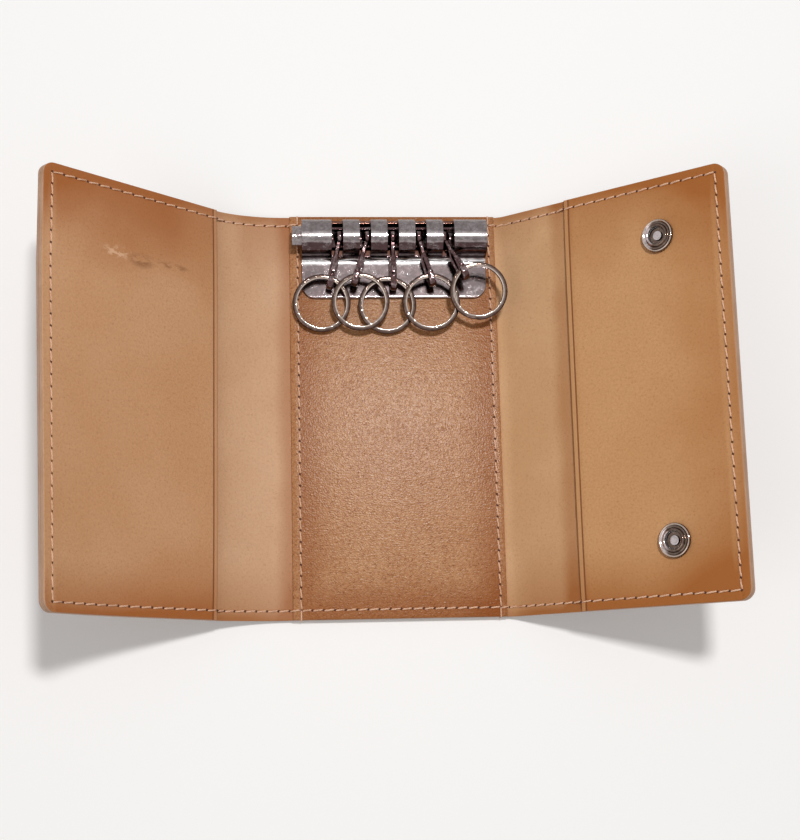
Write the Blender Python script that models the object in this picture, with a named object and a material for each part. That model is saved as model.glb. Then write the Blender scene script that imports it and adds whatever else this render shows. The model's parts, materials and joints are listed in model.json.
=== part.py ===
"""Three-fold leather key case with a five-hook key bar, lying open on its back.

Frame: +X to the right across the open case, +Y toward the edge that carries the key bar, +Z up.
Origin: middle of the centre field, on the surface that the case rests on.
"""

from math import asin, atan2, cos, degrees, hypot, pi, radians, sin, tan

import bmesh
import bpy
from mathutils import Matrix, Vector

MM = 0.001

# Leather sheets
CASE_HEIGHT = 105.0 * MM
OUTER_THICK = 0.9 * MM
LINING_THICK = 0.5 * MM
POCKET_THICK = 0.6 * MM
PATCH_THICK = 0.8 * MM
LAYER_GAP = 0.2 * MM
CORNER_RADIUS = 3.0 * MM
FOLD_CLEARANCE = 0.2 * MM

# Fields between the folds, at rest
CENTRE_HALF = 28.4 * MM
PATCH_HALF = 27.1 * MM
LEFT_SPINE = 17.9 * MM
LEFT_SPINE_CURL = radians(32.0)
LEFT_FLAP = 54.9 * MM
LEFT_FLAP_RISE = radians(43.3)
LEFT_POCKET_START = 2.0 * MM
RIGHT_SPINE = 18.7 * MM
RIGHT_RISE = radians(40.8)
RIGHT_FLAP = 46.9 * MM
RIGHT_POCKET_START = 2.3 * MM
CLOSED_FACE_GAP = 2.7 * MM
RIGHT_SPINE_LEAN = radians(15.0)

# Key bar
BAR_LENGTH = 48.0 * MM
BAR_SHEET = 0.9 * MM
BARREL_INSET = 6.8 * MM
PLATE_REACH = 15.6 * MM
BAR_CORNER_RADIUS = 3.6 * MM
BARREL_HALF_DEPTH = 4.6 * MM
BARREL_HALF_HEIGHT = 3.6 * MM
BARREL_WALL = 0.8 * MM
BARREL_END_WALL = 1.0 * MM
BARREL_FILLET = 1.6 * MM
SLOT_PITCH = 7.2 * MM
SLOT_WIDTH = 2.9 * MM
SLOT_MIDDLE_X = -0.4 * MM
SLOT_FRONT_DROP = 1.5 * MM
SLOT_BACK_DROP = 0.4 * MM
PRONG_SPACING = 38.0 * MM
PRONG_INSET = 5.3 * MM
PRONG_WIDTH = 2.4 * MM
PRONG_THICK = 0.8 * MM
PRONG_CLEARANCE = 0.25 * MM
BACKING_MARGIN = 3.0 * MM
BACKING_DEPTH = 7.0 * MM

# Release slide and its spring
SLIDE_TRAVEL = 2.2 * MM
TAB_REACH = 2.5 * MM
TAB_SOLID = 2.6 * MM
SLIDE_HALF_DEPTH = 2.9 * MM
SLIDE_HALF_HEIGHT = 2.5 * MM
SLIDE_WALL = 0.6 * MM
SPRING_WIRE = 0.4 * MM
SPRING_RADIUS = 1.7 * MM
SPRING_LENGTH = 4.3 * MM
SPRING_TURNS = 5
SPRING_SEAT_GAP = 0.15 * MM

# Hooks, along the stem from the ball's middle
BALL_RADIUS = 1.65 * MM
NECK_THICK = 1.0 * MM
NECK_WIDTH = 1.2 * MM
HOOK_WIDTH = 2.0 * MM
TIP_WIDTH = 1.5 * MM
NECK_END = 4.9 * MM
BACK_LEG_START = 6.2 * MM
BACK_LEG_DROP = 0.5 * MM
HOOK_LEG_THICK = 0.8 * MM
HOOK_INSIDE = 2.45 * MM
BOW_START = 12.2 * MM
NUB_PLACE = 10.6 * MM
NUB_RADIUS = 0.72 * MM
BACK_LEG_STEP_SHARE = 0.6
TIP_THICK_SHARE = 0.85
STRIP_CORNER_SHARE = 0.28
GATE_ROOT = 4.6 * MM
GATE_THICK = 0.35 * MM
GATE_WIDTH = 1.1 * MM
GATE_CLEARANCE = 0.2 * MM
HOOK_REST_GAP = 0.5 * MM
HOOK_LEANS = [radians(a) for a in (-12.0, -16.0, 0.0, 14.0, 22.0)]
HOOK_SHIFTS = [s * MM for s in (0.7, 0.7, 0.0, -0.45, -1.15)]

# Rings
RING_RADIUS = 7.45 * MM
RING_WIDTH = 1.2 * MM
RING_HEIGHT = 1.4 * MM
RING_EDGE = 0.15 * MM
RING_TURN_GAP = 0.1 * MM
RING_STEP_PLACE = radians(215.0)
RING_STEP_SPREAD = radians(24.0)
RING_END_GAP = radians(2.0)
RING_LEVEL = 1.7 * MM
RING_TILT = radians(9.0)
RING_LEVELS = (0, 1, 0, 1, 2)
RING_TURNS = [radians(a) for a in (-22.0, 8.0, -14.0, 1.0, 38.0)]
RING_SEAT = 11.3 * MM

# Snaps
SNAP_ALONG = 28.7 * MM
SNAP_END_INSET = 15.1 * MM
SOCKET_RADIUS = 4.2 * MM
SOCKET_HEIGHT = 1.5 * MM
SOCKET_BASE = 0.3 * MM
SOCKET_THROAT = 2.15 * MM
SNAP_SEAT_GAP = 0.2 * MM
POST_RADIUS = 0.7 * MM
POST_CLEARANCE = 0.25 * MM
RIVET_RADIUS = 1.15 * MM
RIVET_THICK = 0.2 * MM
RIVET_GAP = 0.15 * MM
CAP_RADIUS = 6.0 * MM
CAP_HEIGHT = 1.3 * MM
CAP_RIM_SHARE = 0.3
CAP_EDGE_SHARE = 0.97
STUD_RADIUS = 3.6 * MM
STUD_FLANGE = 0.45 * MM
STUD_HEAD_RADIUS = 1.75 * MM
STUD_HEAD_HEIGHT = 1.4 * MM
STUD_BORE_RADIUS = 1.3 * MM
STUD_BACK_RADIUS = 3.2 * MM
SNAP_SPRING_RADIUS = 2.25 * MM
SNAP_SPRING_WIRE = 0.45 * MM
SNAP_SPRING_LEVEL = 0.82 * MM
SNAP_SPRING_PLAY = 0.14 * MM
SNAP_SPRING_OPENING = radians(24.0)

# Outside of a socket: from the throat (0) to the rim (1), and from its seat (0) to its top (1)
SOCKET_SHARES = [(0.9, 0.0), (1.0, 0.25), (0.94, 0.6), (0.8, 0.7), (0.62, 0.5), (0.42, 0.5),
                 (0.3, 0.92), (0.12, 1.0), (0.0, 0.86)]
# Head of a stud: share of its radius, and from its flange (0) to its tip (1)
STUD_HEAD_SHARES = [(0.98, 0.0), (0.88, 0.25), (1.0, 0.65), (1.0, 0.85), (0.85, 1.0)]
# Edge of a stud's flange: share of its radius and of its thickness
STUD_FLANGE_SHARES = [(1.0, 0.0), (1.0, 0.6), (0.93, 1.0)]

# Levels of the sheets, measured from the middle of the outer leather
NEUTRAL = OUTER_THICK / 2
OUTER_LEVELS = (-OUTER_THICK / 2, OUTER_THICK / 2)
LINING_LEVELS = (OUTER_LEVELS[1] + LAYER_GAP, OUTER_LEVELS[1] + LAYER_GAP + LINING_THICK)
POCKET_LEVELS = (LINING_LEVELS[1] + LAYER_GAP, LINING_LEVELS[1] + LAYER_GAP + POCKET_THICK)
PATCH_LEVELS = (LINING_LEVELS[1] + LAYER_GAP, LINING_LEVELS[1] + LAYER_GAP + PATCH_THICK)
PATCH_TOP = NEUTRAL + PATCH_LEVELS[1]

# Places along the case, from its upper edge
BARREL_Y = CASE_HEIGHT / 2 - BARREL_INSET
BAR_LOW_EDGE_Y = BARREL_Y - PLATE_REACH
PRONG_Y = BAR_LOW_EDGE_Y + PRONG_INSET
BACKING_LENGTH = PRONG_SPACING + 2 * BACKING_MARGIN
SNAP_SPACING = CASE_HEIGHT - 2 * SNAP_END_INSET
BAR_BOTTOM = PATCH_TOP + LAYER_GAP
BARREL_Z = BAR_BOTTOM + BARREL_HALF_HEIGHT

ARC_STEPS = 8
CORNER_STEPS = 6
BOW_STEPS = 8
ROUND_STEPS = 28
HOLE_STEPS = 22
SNAP_STEPS = 22
RING_STEPS = 24
RING_OVER_STEPS = 4
SLIDE_STEPS = 20
BALL_STEPS = (12, 8)
NUB_STEPS = (8, 6)
WIRE_SIDES = 6
TURN_STEPS = 10
SNAP_SPRING_STEPS = 22
OVERRUN = 2.0 * MM
EDGE_ANGLE = radians(38.0)
WIRE_EDGE_ANGLE = radians(70.0)


def material(name, color, roughness, metallic):
    made = bpy.data.materials.new(name)
    made.use_nodes = True
    shader = made.node_tree.nodes["Principled BSDF"]
    shader.inputs["Base Color"].default_value = (*color, 1.0)
    shader.inputs["Roughness"].default_value = roughness
    shader.inputs["Metallic"].default_value = metallic
    made.diffuse_color = (*color, 1.0)
    return made


def add_object(name, mesh, finish, parent=None):
    made = bpy.data.objects.new(name, mesh)
    bpy.context.collection.objects.link(made)
    if not mesh.materials:
        mesh.materials.append(finish)
    if parent is not None:
        made.parent = parent
    return made


def mesh_from(name, points, faces):
    shape = bmesh.new()
    corners = [shape.verts.new(p) for p in points]
    for face in faces:
        shape.faces.new([corners[i] for i in face])
    bmesh.ops.recalc_face_normals(shape, faces=shape.faces)
    mesh = bpy.data.meshes.new(name)
    shape.to_mesh(mesh)
    shape.free()
    return mesh


def smooth(obj, angle=EDGE_ANGLE):
    obj.data.shade_smooth()
    obj.data.set_sharp_from_angle(angle=angle)


def prism(name, outline, low, high):
    """An outline in the XY plane raised from low to high."""
    count = len(outline)
    points = [(x, y, low) for x, y in outline] + [(x, y, high) for x, y in outline]
    sides = [(i, (i + 1) % count, count + (i + 1) % count, count + i) for i in range(count)]
    return mesh_from(name, points, [tuple(range(count)), tuple(range(count, 2 * count))] + sides)


def box(name, low, high):
    outline = [(low[0], low[1]), (high[0], low[1]), (high[0], high[1]), (low[0], high[1])]
    return prism(name, outline, low[2], high[2])


def loft(name, rings, closed=False):
    """Rings of equally many points joined in order; the ends are capped unless the rings close."""
    count = len(rings[0])
    points = [p for ring in rings for p in ring]
    faces = []
    for i in range(len(rings) if closed else len(rings) - 1):
        first, second = i * count, ((i + 1) % len(rings)) * count
        for j in range(count):
            faces.append((first + j, first + (j + 1) % count, second + (j + 1) % count, second + j))
    if not closed:
        faces.append(tuple(range(count)))
        faces.append(tuple(range(len(points) - count, len(points))))
    return mesh_from(name, points, faces)


def turned(name, profile, steps):
    """A closed profile of (radius, height) points turned round +Z; zero radii become poles."""
    points, rows = [], []
    for radius, height in profile:
        if radius == 0:
            rows.append([len(points)] * steps)
            points.append((0, 0, height))
            continue
        rows.append(list(range(len(points), len(points) + steps)))
        for k in range(steps):
            angle = 2 * pi * k / steps
            points.append((radius * cos(angle), radius * sin(angle), height))
    faces = []
    for i, row in enumerate(rows):
        other = rows[(i + 1) % len(rows)]
        for k in range(steps):
            face = []
            for index in (row[k], row[(k + 1) % steps], other[(k + 1) % steps], other[k]):
                if index not in face:
                    face.append(index)
            if len(face) > 2:
                faces.append(tuple(face))
    return mesh_from(name, points, faces)


def ball(name, radius, columns, rows):
    profile = [(radius * sin(pi * i / rows), -radius * cos(pi * i / rows)) for i in range(1, rows)]
    return turned(name, [(0, -radius)] + profile + [(0, radius)], columns)


def boolean(target, cutter, operation):
    """Cutter or addition applied to the target, and then kept out of the model."""
    change = target.modifiers.new(operation.lower(), "BOOLEAN")
    change.operation = operation
    change.solver = "EXACT"
    change.object = cutter
    cutter.hide_render = True
    cutter.display_type = "WIRE"


def helper(name, mesh, parent=None, matrix=None):
    made = bpy.data.objects.new(name, mesh)
    bpy.context.collection.objects.link(made)
    if parent is not None:
        made.parent = parent
    if matrix is not None:
        made.matrix_local = matrix
    return made


def baked(target):
    """The target's mesh with its modifiers applied, so that copies can share it."""
    bpy.context.view_layer.update()
    graph = bpy.context.evaluated_depsgraph_get()
    mesh = bpy.data.meshes.new_from_object(target.evaluated_get(graph))
    cutters = [change.object for change in target.modifiers]
    bpy.data.objects.remove(target)
    for cutter in cutters:
        bpy.data.objects.remove(cutter)
    return mesh


def pivot(name, place, parent=None, turn=(0, 0, 0)):
    made = bpy.data.objects.new(name, None)
    bpy.context.collection.objects.link(made)
    made.parent = parent
    made.location = place
    made.rotation_euler = turn
    return made


def along(length, curl, distance):
    """Place and slope at a distance along a field that turns by curl over its length."""
    if curl == 0:
        return distance, 0.0, 0.0
    radius = length / curl
    angle = distance / radius
    return radius * sin(angle), radius * (1 - cos(angle)), angle


# The shut case: span and rise from the left flap's fold to the right flap's fold. The right spine
# leans out, clear of the last ring, and the right flap lies over the left one, parallel to it.
LEFT_SPINE_HEIGHT = 2 * LEFT_SPINE / LEFT_SPINE_CURL * sin(LEFT_SPINE_CURL / 2)
CLOSED_SPAN = 2 * CENTRE_HALF + RIGHT_SPINE * sin(RIGHT_SPINE_LEAN)
CLOSED_RISE = RIGHT_SPINE * cos(RIGHT_SPINE_LEAN) - LEFT_SPINE_HEIGHT
CLOSED_FLAP_PITCH = CLOSED_FACE_GAP + OUTER_LEVELS[1] + POCKET_LEVELS[1]
CLOSED_SLOPE = asin(CLOSED_FLAP_PITCH / hypot(CLOSED_SPAN, CLOSED_RISE)) - atan2(CLOSED_RISE, CLOSED_SPAN)
CLOSED_BENDS = {
    "left_spine": pi / 2 - LEFT_SPINE_CURL / 2,
    "left_flap": pi / 2 - LEFT_SPINE_CURL / 2 + CLOSED_SLOPE,
    "right_spine": pi / 2 - RIGHT_SPINE_LEAN,
    "right_flap": pi / 2 + RIGHT_SPINE_LEAN - CLOSED_SLOPE,
}
# How far each fold bends the other way when the case is pressed flat
FLAT_BENDS = {"left_spine": 0.0, "left_flap": LEFT_SPINE_CURL, "right_spine": 0.0, "right_flap": 0.0}


def mitre(fold, level):
    """How far a sheet at this level stops short of a fold, so that the fold is free, shut and flat."""
    return FOLD_CLEARANCE + max(level * tan(CLOSED_BENDS[fold] / 2), -level * tan(FLAT_BENDS[fold] / 2))


def field(name, side, length, curl, levels, folds, finish, parent):
    """A sheet between two folds, side +1 to the right and -1 to the left."""
    rings = []
    steps = ARC_STEPS if curl else 1
    for i in range(steps + 1):
        share = i / steps
        ring = []
        for level, half in ((0, -1), (0, 1), (1, 1), (1, -1)):
            height = levels[level]
            start, end = mitre(folds[0], height), length - mitre(folds[1], height)
            x, z, angle = along(length, curl, start + (end - start) * share)
            x, z = x - height * sin(angle), z + height * cos(angle)
            ring.append((side * x, half * CASE_HEIGHT / 2, z))
        rings.append(ring)
    return add_object(name, loft(name, rings), finish, parent)


def centre_field(name, levels, finish):
    outline = []
    for side, fold in ((-1, "left_spine"), (1, "right_spine")):
        outline.append([(side * (CENTRE_HALF - mitre(fold, height)), height) for height in levels])
    ring = [outline[0][0], outline[1][0], outline[1][1], outline[0][1]]
    rings = [[(x, half * CASE_HEIGHT / 2, NEUTRAL + z) for x, z in ring] for half in (-1, 1)]
    return add_object(name, loft(name, rings), finish)


def rounded_end(side, start, end, radius):
    """Outline of a flap: straight at the fold, round at its two outer corners."""
    half = CASE_HEIGHT / 2
    outline = [(side * start, -half)]
    for corner_y, first in ((-half + radius, -pi / 2), (half - radius, 0.0)):
        for i in range(CORNER_STEPS + 1):
            angle = first + pi / 2 * i / CORNER_STEPS
            outline.append((side * (end - radius + radius * cos(angle)), corner_y + radius * sin(angle)))
    outline.append((side * start, half))
    return outline


def flap(name, side, length, start_levels, levels, finish, parent):
    """A flat sheet on a flap; start_levels gives where it starts at its lower and upper face."""
    low = [(x, y, levels[0]) for x, y in rounded_end(side, start_levels[0], length, CORNER_RADIUS)]
    high = [(x, y, levels[1]) for x, y in rounded_end(side, start_levels[1], length, CORNER_RADIUS)]
    return add_object(name, loft(name, [low, high]), finish, parent)


def snap_holes(target, parent, places, radius, levels):
    for place in places:
        depth = levels[1] - levels[0] + 2 * OVERRUN
        outline = circle(radius, HOLE_STEPS)
        cutter = helper("hole", prism("hole", outline, 0, depth), parent)
        cutter.location = (place[0], place[1], levels[0] - OVERRUN)
        boolean(target, cutter, "DIFFERENCE")


def circle(radius, steps):
    return [(radius * cos(2 * pi * k / steps), radius * sin(2 * pi * k / steps)) for k in range(steps)]


def stud_along():
    """Distance of the studs from the left flap's fold: where the sockets come when the case shuts."""
    return CLOSED_SPAN * cos(CLOSED_SLOPE) - CLOSED_RISE * sin(CLOSED_SLOPE) - SNAP_ALONG


def snap_places(side, distance):
    return [(side * distance, half * SNAP_SPACING / 2) for half in (1, -1)]


def make_leather(finishes, pivots):
    outer, lining, pocket = finishes["outer"], finishes["lining"], finishes["pocket"]
    hide = {"outer": (OUTER_LEVELS, outer), "lining": (LINING_LEVELS, lining)}
    sides = {
        "left": (-1, LEFT_SPINE, LEFT_SPINE_CURL, LEFT_FLAP, LEFT_POCKET_START),
        "right": (1, RIGHT_SPINE, 0, RIGHT_FLAP, RIGHT_POCKET_START),
    }
    sheets = {}
    for layer, (levels, finish) in hide.items():
        sheets[layer + "_centre"] = centre_field(layer + "_centre", levels, finish)
        for name, (side, spine, curl, length, _) in sides.items():
            folds = (name + "_spine", name + "_flap")
            field(f"{layer}_{name}_spine", side, spine, curl, levels, folds, finish, pivots[name + "_spine"])
            starts = [mitre(name + "_flap", level) for level in levels]
            node = f"{layer}_{name}_flap"
            sheets[node] = flap(node, side, length, starts, levels, finish, pivots[name + "_flap"])
    for name, (side, _, _, length, start) in sides.items():
        node = name + "_pocket"
        sheets[node] = flap(node, side, length, (start, start), POCKET_LEVELS, pocket, pivots[name + "_flap"])
    low = (-PATCH_HALF, -CASE_HEIGHT / 2, NEUTRAL + PATCH_LEVELS[0])
    high = (PATCH_HALF, CASE_HEIGHT / 2, NEUTRAL + PATCH_LEVELS[1])
    sheets["centre_patch"] = add_object("centre_patch", box("centre_patch", low, high), finishes["patch"])
    return sheets


def cut_leather(sheets, pivots):
    """Holes for the snaps' posts, and the seats of the key bar's prongs and backing plate."""
    hole = POST_RADIUS + POST_CLEARANCE
    places = snap_places(1, SNAP_ALONG)
    for node, levels in (("outer", OUTER_LEVELS), ("lining", LINING_LEVELS)):
        snap_holes(sheets[node + "_right_flap"], pivots["right_flap"], places, hole, levels)
    snap_holes(sheets["right_pocket"], pivots["right_flap"], places, hole, POCKET_LEVELS)
    places = snap_places(-1, stud_along())
    snap_holes(sheets["outer_left_flap"], pivots["left_flap"], places, hole, OUTER_LEVELS)
    seat = STUD_BACK_RADIUS + POST_CLEARANCE
    snap_holes(sheets["lining_left_flap"], pivots["left_flap"], places, seat, LINING_LEVELS)
    window = [BACKING_LENGTH / 2 + PRONG_CLEARANCE, BACKING_DEPTH / 2 + PRONG_CLEARANCE]
    low = (-window[0], PRONG_Y - window[1], NEUTRAL + OUTER_LEVELS[1] + LAYER_GAP / 2)
    high = (window[0], PRONG_Y + window[1], NEUTRAL + LINING_LEVELS[1] + OVERRUN)
    boolean(sheets["lining_centre"], helper("window", box("window", low, high)), "DIFFERENCE")
    for cutter in prong_cutters(PATCH_LEVELS):
        boolean(sheets["centre_patch"], cutter, "DIFFERENCE")


def prong_boxes(grow, bottom, top):
    made = []
    for side in (-1, 1):
        middle = side * PRONG_SPACING / 2
        half_x, half_y = PRONG_WIDTH / 2 + grow, PRONG_THICK / 2 + grow
        low = (middle - half_x, PRONG_Y - half_y, bottom)
        made.append(box("prong", low, (middle + half_x, PRONG_Y + half_y, top)))
    return made


def prong_cutters(levels):
    bottom, top = NEUTRAL + levels[0] - OVERRUN, NEUTRAL + levels[1] + OVERRUN
    return [helper("prong_hole", mesh) for mesh in prong_boxes(PRONG_CLEARANCE, bottom, top)]


def ellipse(half_depth, half_height, steps):
    """Points of the barrel's section, as (y, z), from the back over the top to the front."""
    points = []
    for k in range(steps):
        angle = 2 * pi * k / steps
        points.append((BARREL_Y + half_depth * cos(angle), BARREL_Z + half_height * sin(angle)))
    return points


def bar_section():
    """Outside of the key bar's section: rolled barrel, fillet, and flat plate with a round lip."""
    top = BAR_BOTTOM + BAR_SHEET
    section = [(BARREL_Y, BAR_BOTTOM)]
    steps = ROUND_STEPS
    for k in range(-steps // 4 + 1, steps // 2 + 1):
        angle = 2 * pi * k / steps
        y, z = BARREL_HALF_DEPTH * cos(angle), BARREL_HALF_HEIGHT * sin(angle)
        section.append((BARREL_Y + y, BARREL_Z + z))
    front = BARREL_Y - BARREL_HALF_DEPTH
    depth = BARREL_Z - top
    for i in range(1, CORNER_STEPS + 1):
        angle = pi / 2 * i / CORNER_STEPS
        section.append((front - BARREL_FILLET * (1 - cos(angle)), top + depth * (1 - sin(angle))))
    lip = BAR_SHEET / 2
    for i in range(CORNER_STEPS + 1):
        angle = pi * i / CORNER_STEPS
        section.append((BAR_LOW_EDGE_Y + lip - lip * sin(angle), BAR_BOTTOM + lip + lip * cos(angle)))
    return section


def corner_cutter(side):
    """What is trimmed from a lower corner of the plate to leave it round."""
    radius = BAR_CORNER_RADIUS
    middle = (side * (BAR_LENGTH / 2 - radius), BAR_LOW_EDGE_Y + radius)
    outline = [(side * (BAR_LENGTH / 2 + OVERRUN), BAR_LOW_EDGE_Y - OVERRUN)]
    outline.append((side * (BAR_LENGTH / 2 + OVERRUN), middle[1]))
    for i in range(CORNER_STEPS + 1):
        angle = pi / 2 * i / CORNER_STEPS
        outline.append((middle[0] + side * radius * cos(angle), middle[1] - radius * sin(angle)))
    outline.append((middle[0], BAR_LOW_EDGE_Y - OVERRUN))
    top = BAR_BOTTOM + BAR_SHEET + OVERRUN
    return helper("corner", prism("corner", outline, BAR_BOTTOM - OVERRUN, top))


def along_x(name, section, low, high):
    rings = [[(x, y, z) for y, z in section] for x in (low, high)]
    return loft(name, rings)


def slot_x(index):
    return SLOT_MIDDLE_X + (index - (len(HOOK_LEANS) - 1) / 2) * SLOT_PITCH


def slot_section():
    """Side view of a slot: low at the front, higher at the back."""
    front, back = BARREL_Y - BARREL_HALF_DEPTH - OVERRUN, BARREL_Y + BARREL_HALF_DEPTH + OVERRUN
    top = BARREL_Z + BARREL_HALF_HEIGHT + OVERRUN
    low, high = BARREL_Z - SLOT_FRONT_DROP, BARREL_Z - SLOT_BACK_DROP
    return [(front, low), (BARREL_Y, low), (BARREL_Y, high), (back, high), (back, top), (front, top)]


def make_key_bar(finishes):
    half = BAR_LENGTH / 2
    bar = add_object("key_bar", along_x("key_bar", bar_section(), -half, half), finishes["nickel"])
    bore = ellipse(BARREL_HALF_DEPTH - BARREL_WALL, BARREL_HALF_HEIGHT - BARREL_WALL, ROUND_STEPS)
    boolean(bar, helper("bore", along_x("bore", bore, -half - OVERRUN, half - BARREL_END_WALL)), "DIFFERENCE")
    for index in range(len(HOOK_LEANS)):
        low, high = slot_x(index) - SLOT_WIDTH / 2, slot_x(index) + SLOT_WIDTH / 2
        boolean(bar, helper("slot", along_x("slot", slot_section(), low, high)), "DIFFERENCE")
    for side in (-1, 1):
        boolean(bar, corner_cutter(side), "DIFFERENCE")
    bottom = NEUTRAL + LINING_LEVELS[0]
    for mesh in prong_boxes(0, bottom, BAR_BOTTOM + BAR_SHEET / 2):
        boolean(bar, helper("prong", mesh), "UNION")
    smooth(bar)
    low = (-BACKING_LENGTH / 2, PRONG_Y - BACKING_DEPTH / 2, NEUTRAL + LINING_LEVELS[0])
    high = (BACKING_LENGTH / 2, PRONG_Y + BACKING_DEPTH / 2, NEUTRAL + LINING_LEVELS[1])
    backing = add_object("bar_backing_plate", box("bar_backing_plate", low, high), finishes["steel"])
    for cutter in prong_cutters(LINING_LEVELS):
        boolean(backing, cutter, "DIFFERENCE")


def slide_end():
    """Where the slide stops inside the barrel: at the spring."""
    return BAR_LENGTH / 2 - BARREL_END_WALL - SPRING_LENGTH - 2 * SPRING_SEAT_GAP


def make_slide(finishes):
    """Inner tube that holds the balls, closed at its tab, open in front of every neck."""
    left = -BAR_LENGTH / 2 - TAB_REACH
    slide = add_object(
        "release_slide",
        along_x("release_slide", ellipse(SLIDE_HALF_DEPTH, SLIDE_HALF_HEIGHT, SLIDE_STEPS), left, slide_end()),
        finishes["nickel"],
    )
    bore = ellipse(SLIDE_HALF_DEPTH - SLIDE_WALL, SLIDE_HALF_HEIGHT - SLIDE_WALL, SLIDE_STEPS)
    start = left + TAB_REACH + TAB_SOLID
    end = slide_end() - SLIDE_WALL
    boolean(slide, helper("slide_bore", along_x("slide_bore", bore, start, end)), "DIFFERENCE")
    for index in range(len(HOOK_LEANS)):
        low = slot_x(index) - SLOT_WIDTH / 2 - SLIDE_TRAVEL
        high = slot_x(index) + SLOT_WIDTH / 2
        boolean(slide, helper("gap", along_x("gap", slot_section(), low, high)), "DIFFERENCE")
    smooth(slide)


def wire_ring(place, across, up, radius):
    """Points round a wire at one place, in the plane of two unit vectors."""
    made = []
    for k in range(WIRE_SIDES):
        angle = 2 * pi * k / WIRE_SIDES
        made.append(place + across * radius * cos(angle) + up * radius * sin(angle))
    return made


def make_slide_spring(finishes):
    """Compression spring between the slide and the barrel's end wall."""
    wire = SPRING_WIRE / 2
    start, run = slide_end() + SPRING_SEAT_GAP + wire, SPRING_LENGTH - SPRING_WIRE
    count = SPRING_TURNS * TURN_STEPS
    places = []
    for i in range(count + 1):
        angle = 2 * pi * i / TURN_STEPS
        x = start + run * i / count
        places.append(Vector((x, BARREL_Y + SPRING_RADIUS * cos(angle), BARREL_Z + SPRING_RADIUS * sin(angle))))
    rings = []
    for i, place in enumerate(places):
        forward = (places[min(i + 1, count)] - places[max(i - 1, 0)]).normalized()
        outward = Vector((0, place.y - BARREL_Y, place.z - BARREL_Z)).normalized()
        rings.append(wire_ring(place, outward, forward.cross(outward), wire))
    spring = add_object("slide_spring", loft("slide_spring", rings), finishes["steel"])
    smooth(spring, WIRE_EDGE_ANGLE)


def hook_path():
    """Middle line of the hook as (distance along the stem, height, thickness, width)."""
    low = -BACK_LEG_DROP
    bow_radius = (HOOK_INSIDE + HOOK_LEG_THICK) / 2
    path = [(BALL_RADIUS / 2, 0.0, NECK_THICK, NECK_WIDTH), (NECK_END, 0.0, NECK_THICK, NECK_WIDTH)]
    middle = (NECK_END + BACK_LEG_START) / 2
    thick = (NECK_THICK + HOOK_LEG_THICK) / 2
    path.append((middle, low * BACK_LEG_STEP_SHARE, thick, (NECK_WIDTH + HOOK_WIDTH) / 2))
    path.append((BACK_LEG_START, low, HOOK_LEG_THICK, HOOK_WIDTH))
    for i in range(BOW_STEPS + 1):
        share = i / BOW_STEPS
        angle = pi * (share - 1 / 2)
        height = low + bow_radius + bow_radius * sin(angle)
        width = HOOK_WIDTH + (TIP_WIDTH - HOOK_WIDTH) * share
        path.append((BOW_START + bow_radius * cos(angle), height, HOOK_LEG_THICK, width))
    path.append((NUB_PLACE, low + 2 * bow_radius, HOOK_LEG_THICK * TIP_THICK_SHARE, TIP_WIDTH))
    return path


def swept(name, path):
    """A strip with bevelled corners swept along a path in the hook's own plane."""
    rings = []
    for i, (distance, height, thick, width) in enumerate(path):
        before, after = path[max(i - 1, 0)], path[min(i + 1, len(path) - 1)]
        slope = Vector((after[0] - before[0], after[1] - before[1])).normalized()
        side = Vector((-slope.y, slope.x))
        ring = []
        for across, up in corner_shares():
            lift = side * (up * thick)
            ring.append((across * width, -(distance + lift.x), height + lift.y))
        rings.append(ring)
    return loft(name, rings)


def corner_shares():
    """Section of a strip with its corners taken off, as shares of its width and thickness."""
    near, far = STRIP_CORNER_SHARE, 1 / 2
    return [(far, -near), (far, near), (near, far), (-near, far), (-far, near), (-far, -near),
            (-near, -far), (near, -far)]


def hook_mesh(finish):
    hook = add_object("hook_shape", swept("hook_shape", hook_path()), finish)
    head = helper("head", ball("head", BALL_RADIUS, *BALL_STEPS))
    boolean(hook, head, "UNION")
    nub = helper("nub", ball("nub", NUB_RADIUS, *NUB_STEPS))
    nub.location = (0, -NUB_PLACE, HOOK_INSIDE + HOOK_LEG_THICK - BACK_LEG_DROP)
    boolean(hook, nub, "UNION")
    return baked(hook)


def gate_tip():
    return NUB_PLACE - NUB_RADIUS - GATE_CLEARANCE


def gate_root_height():
    return NECK_THICK / 2 + GATE_CLEARANCE + GATE_THICK / 2


def gate_mesh():
    """Leaf from the neck to the nub, in its own frame with the root at the origin."""
    rise = HOOK_INSIDE + HOOK_LEG_THICK - BACK_LEG_DROP - gate_root_height()
    run = gate_tip() - GATE_ROOT
    path = []
    for i in range(CORNER_STEPS + 1):
        share = i / CORNER_STEPS
        path.append((run * share, rise * (3 * share**2 - 2 * share**3), GATE_THICK, GATE_WIDTH))
    return swept("gate", path)


def ring_turns():
    """Angle and level along the wire of a split ring: a turn, the step over, and a second turn."""
    low = -(RING_HEIGHT + RING_TURN_GAP) / 4
    half = RING_STEP_SPREAD / 2
    turn = 2 * pi - 2 * half - RING_END_GAP
    wire = [(half + RING_END_GAP + turn * i / RING_STEPS, low) for i in range(RING_STEPS)]
    for i in range(RING_OVER_STEPS):
        share = i / RING_OVER_STEPS
        wire.append((2 * pi - half + 2 * half * share, low * (1 - 2 * (3 * share**2 - 2 * share**3))))
    wire += [(2 * pi + half + turn * i / RING_STEPS, -low) for i in range(RING_STEPS + 1)]
    return wire


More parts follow.
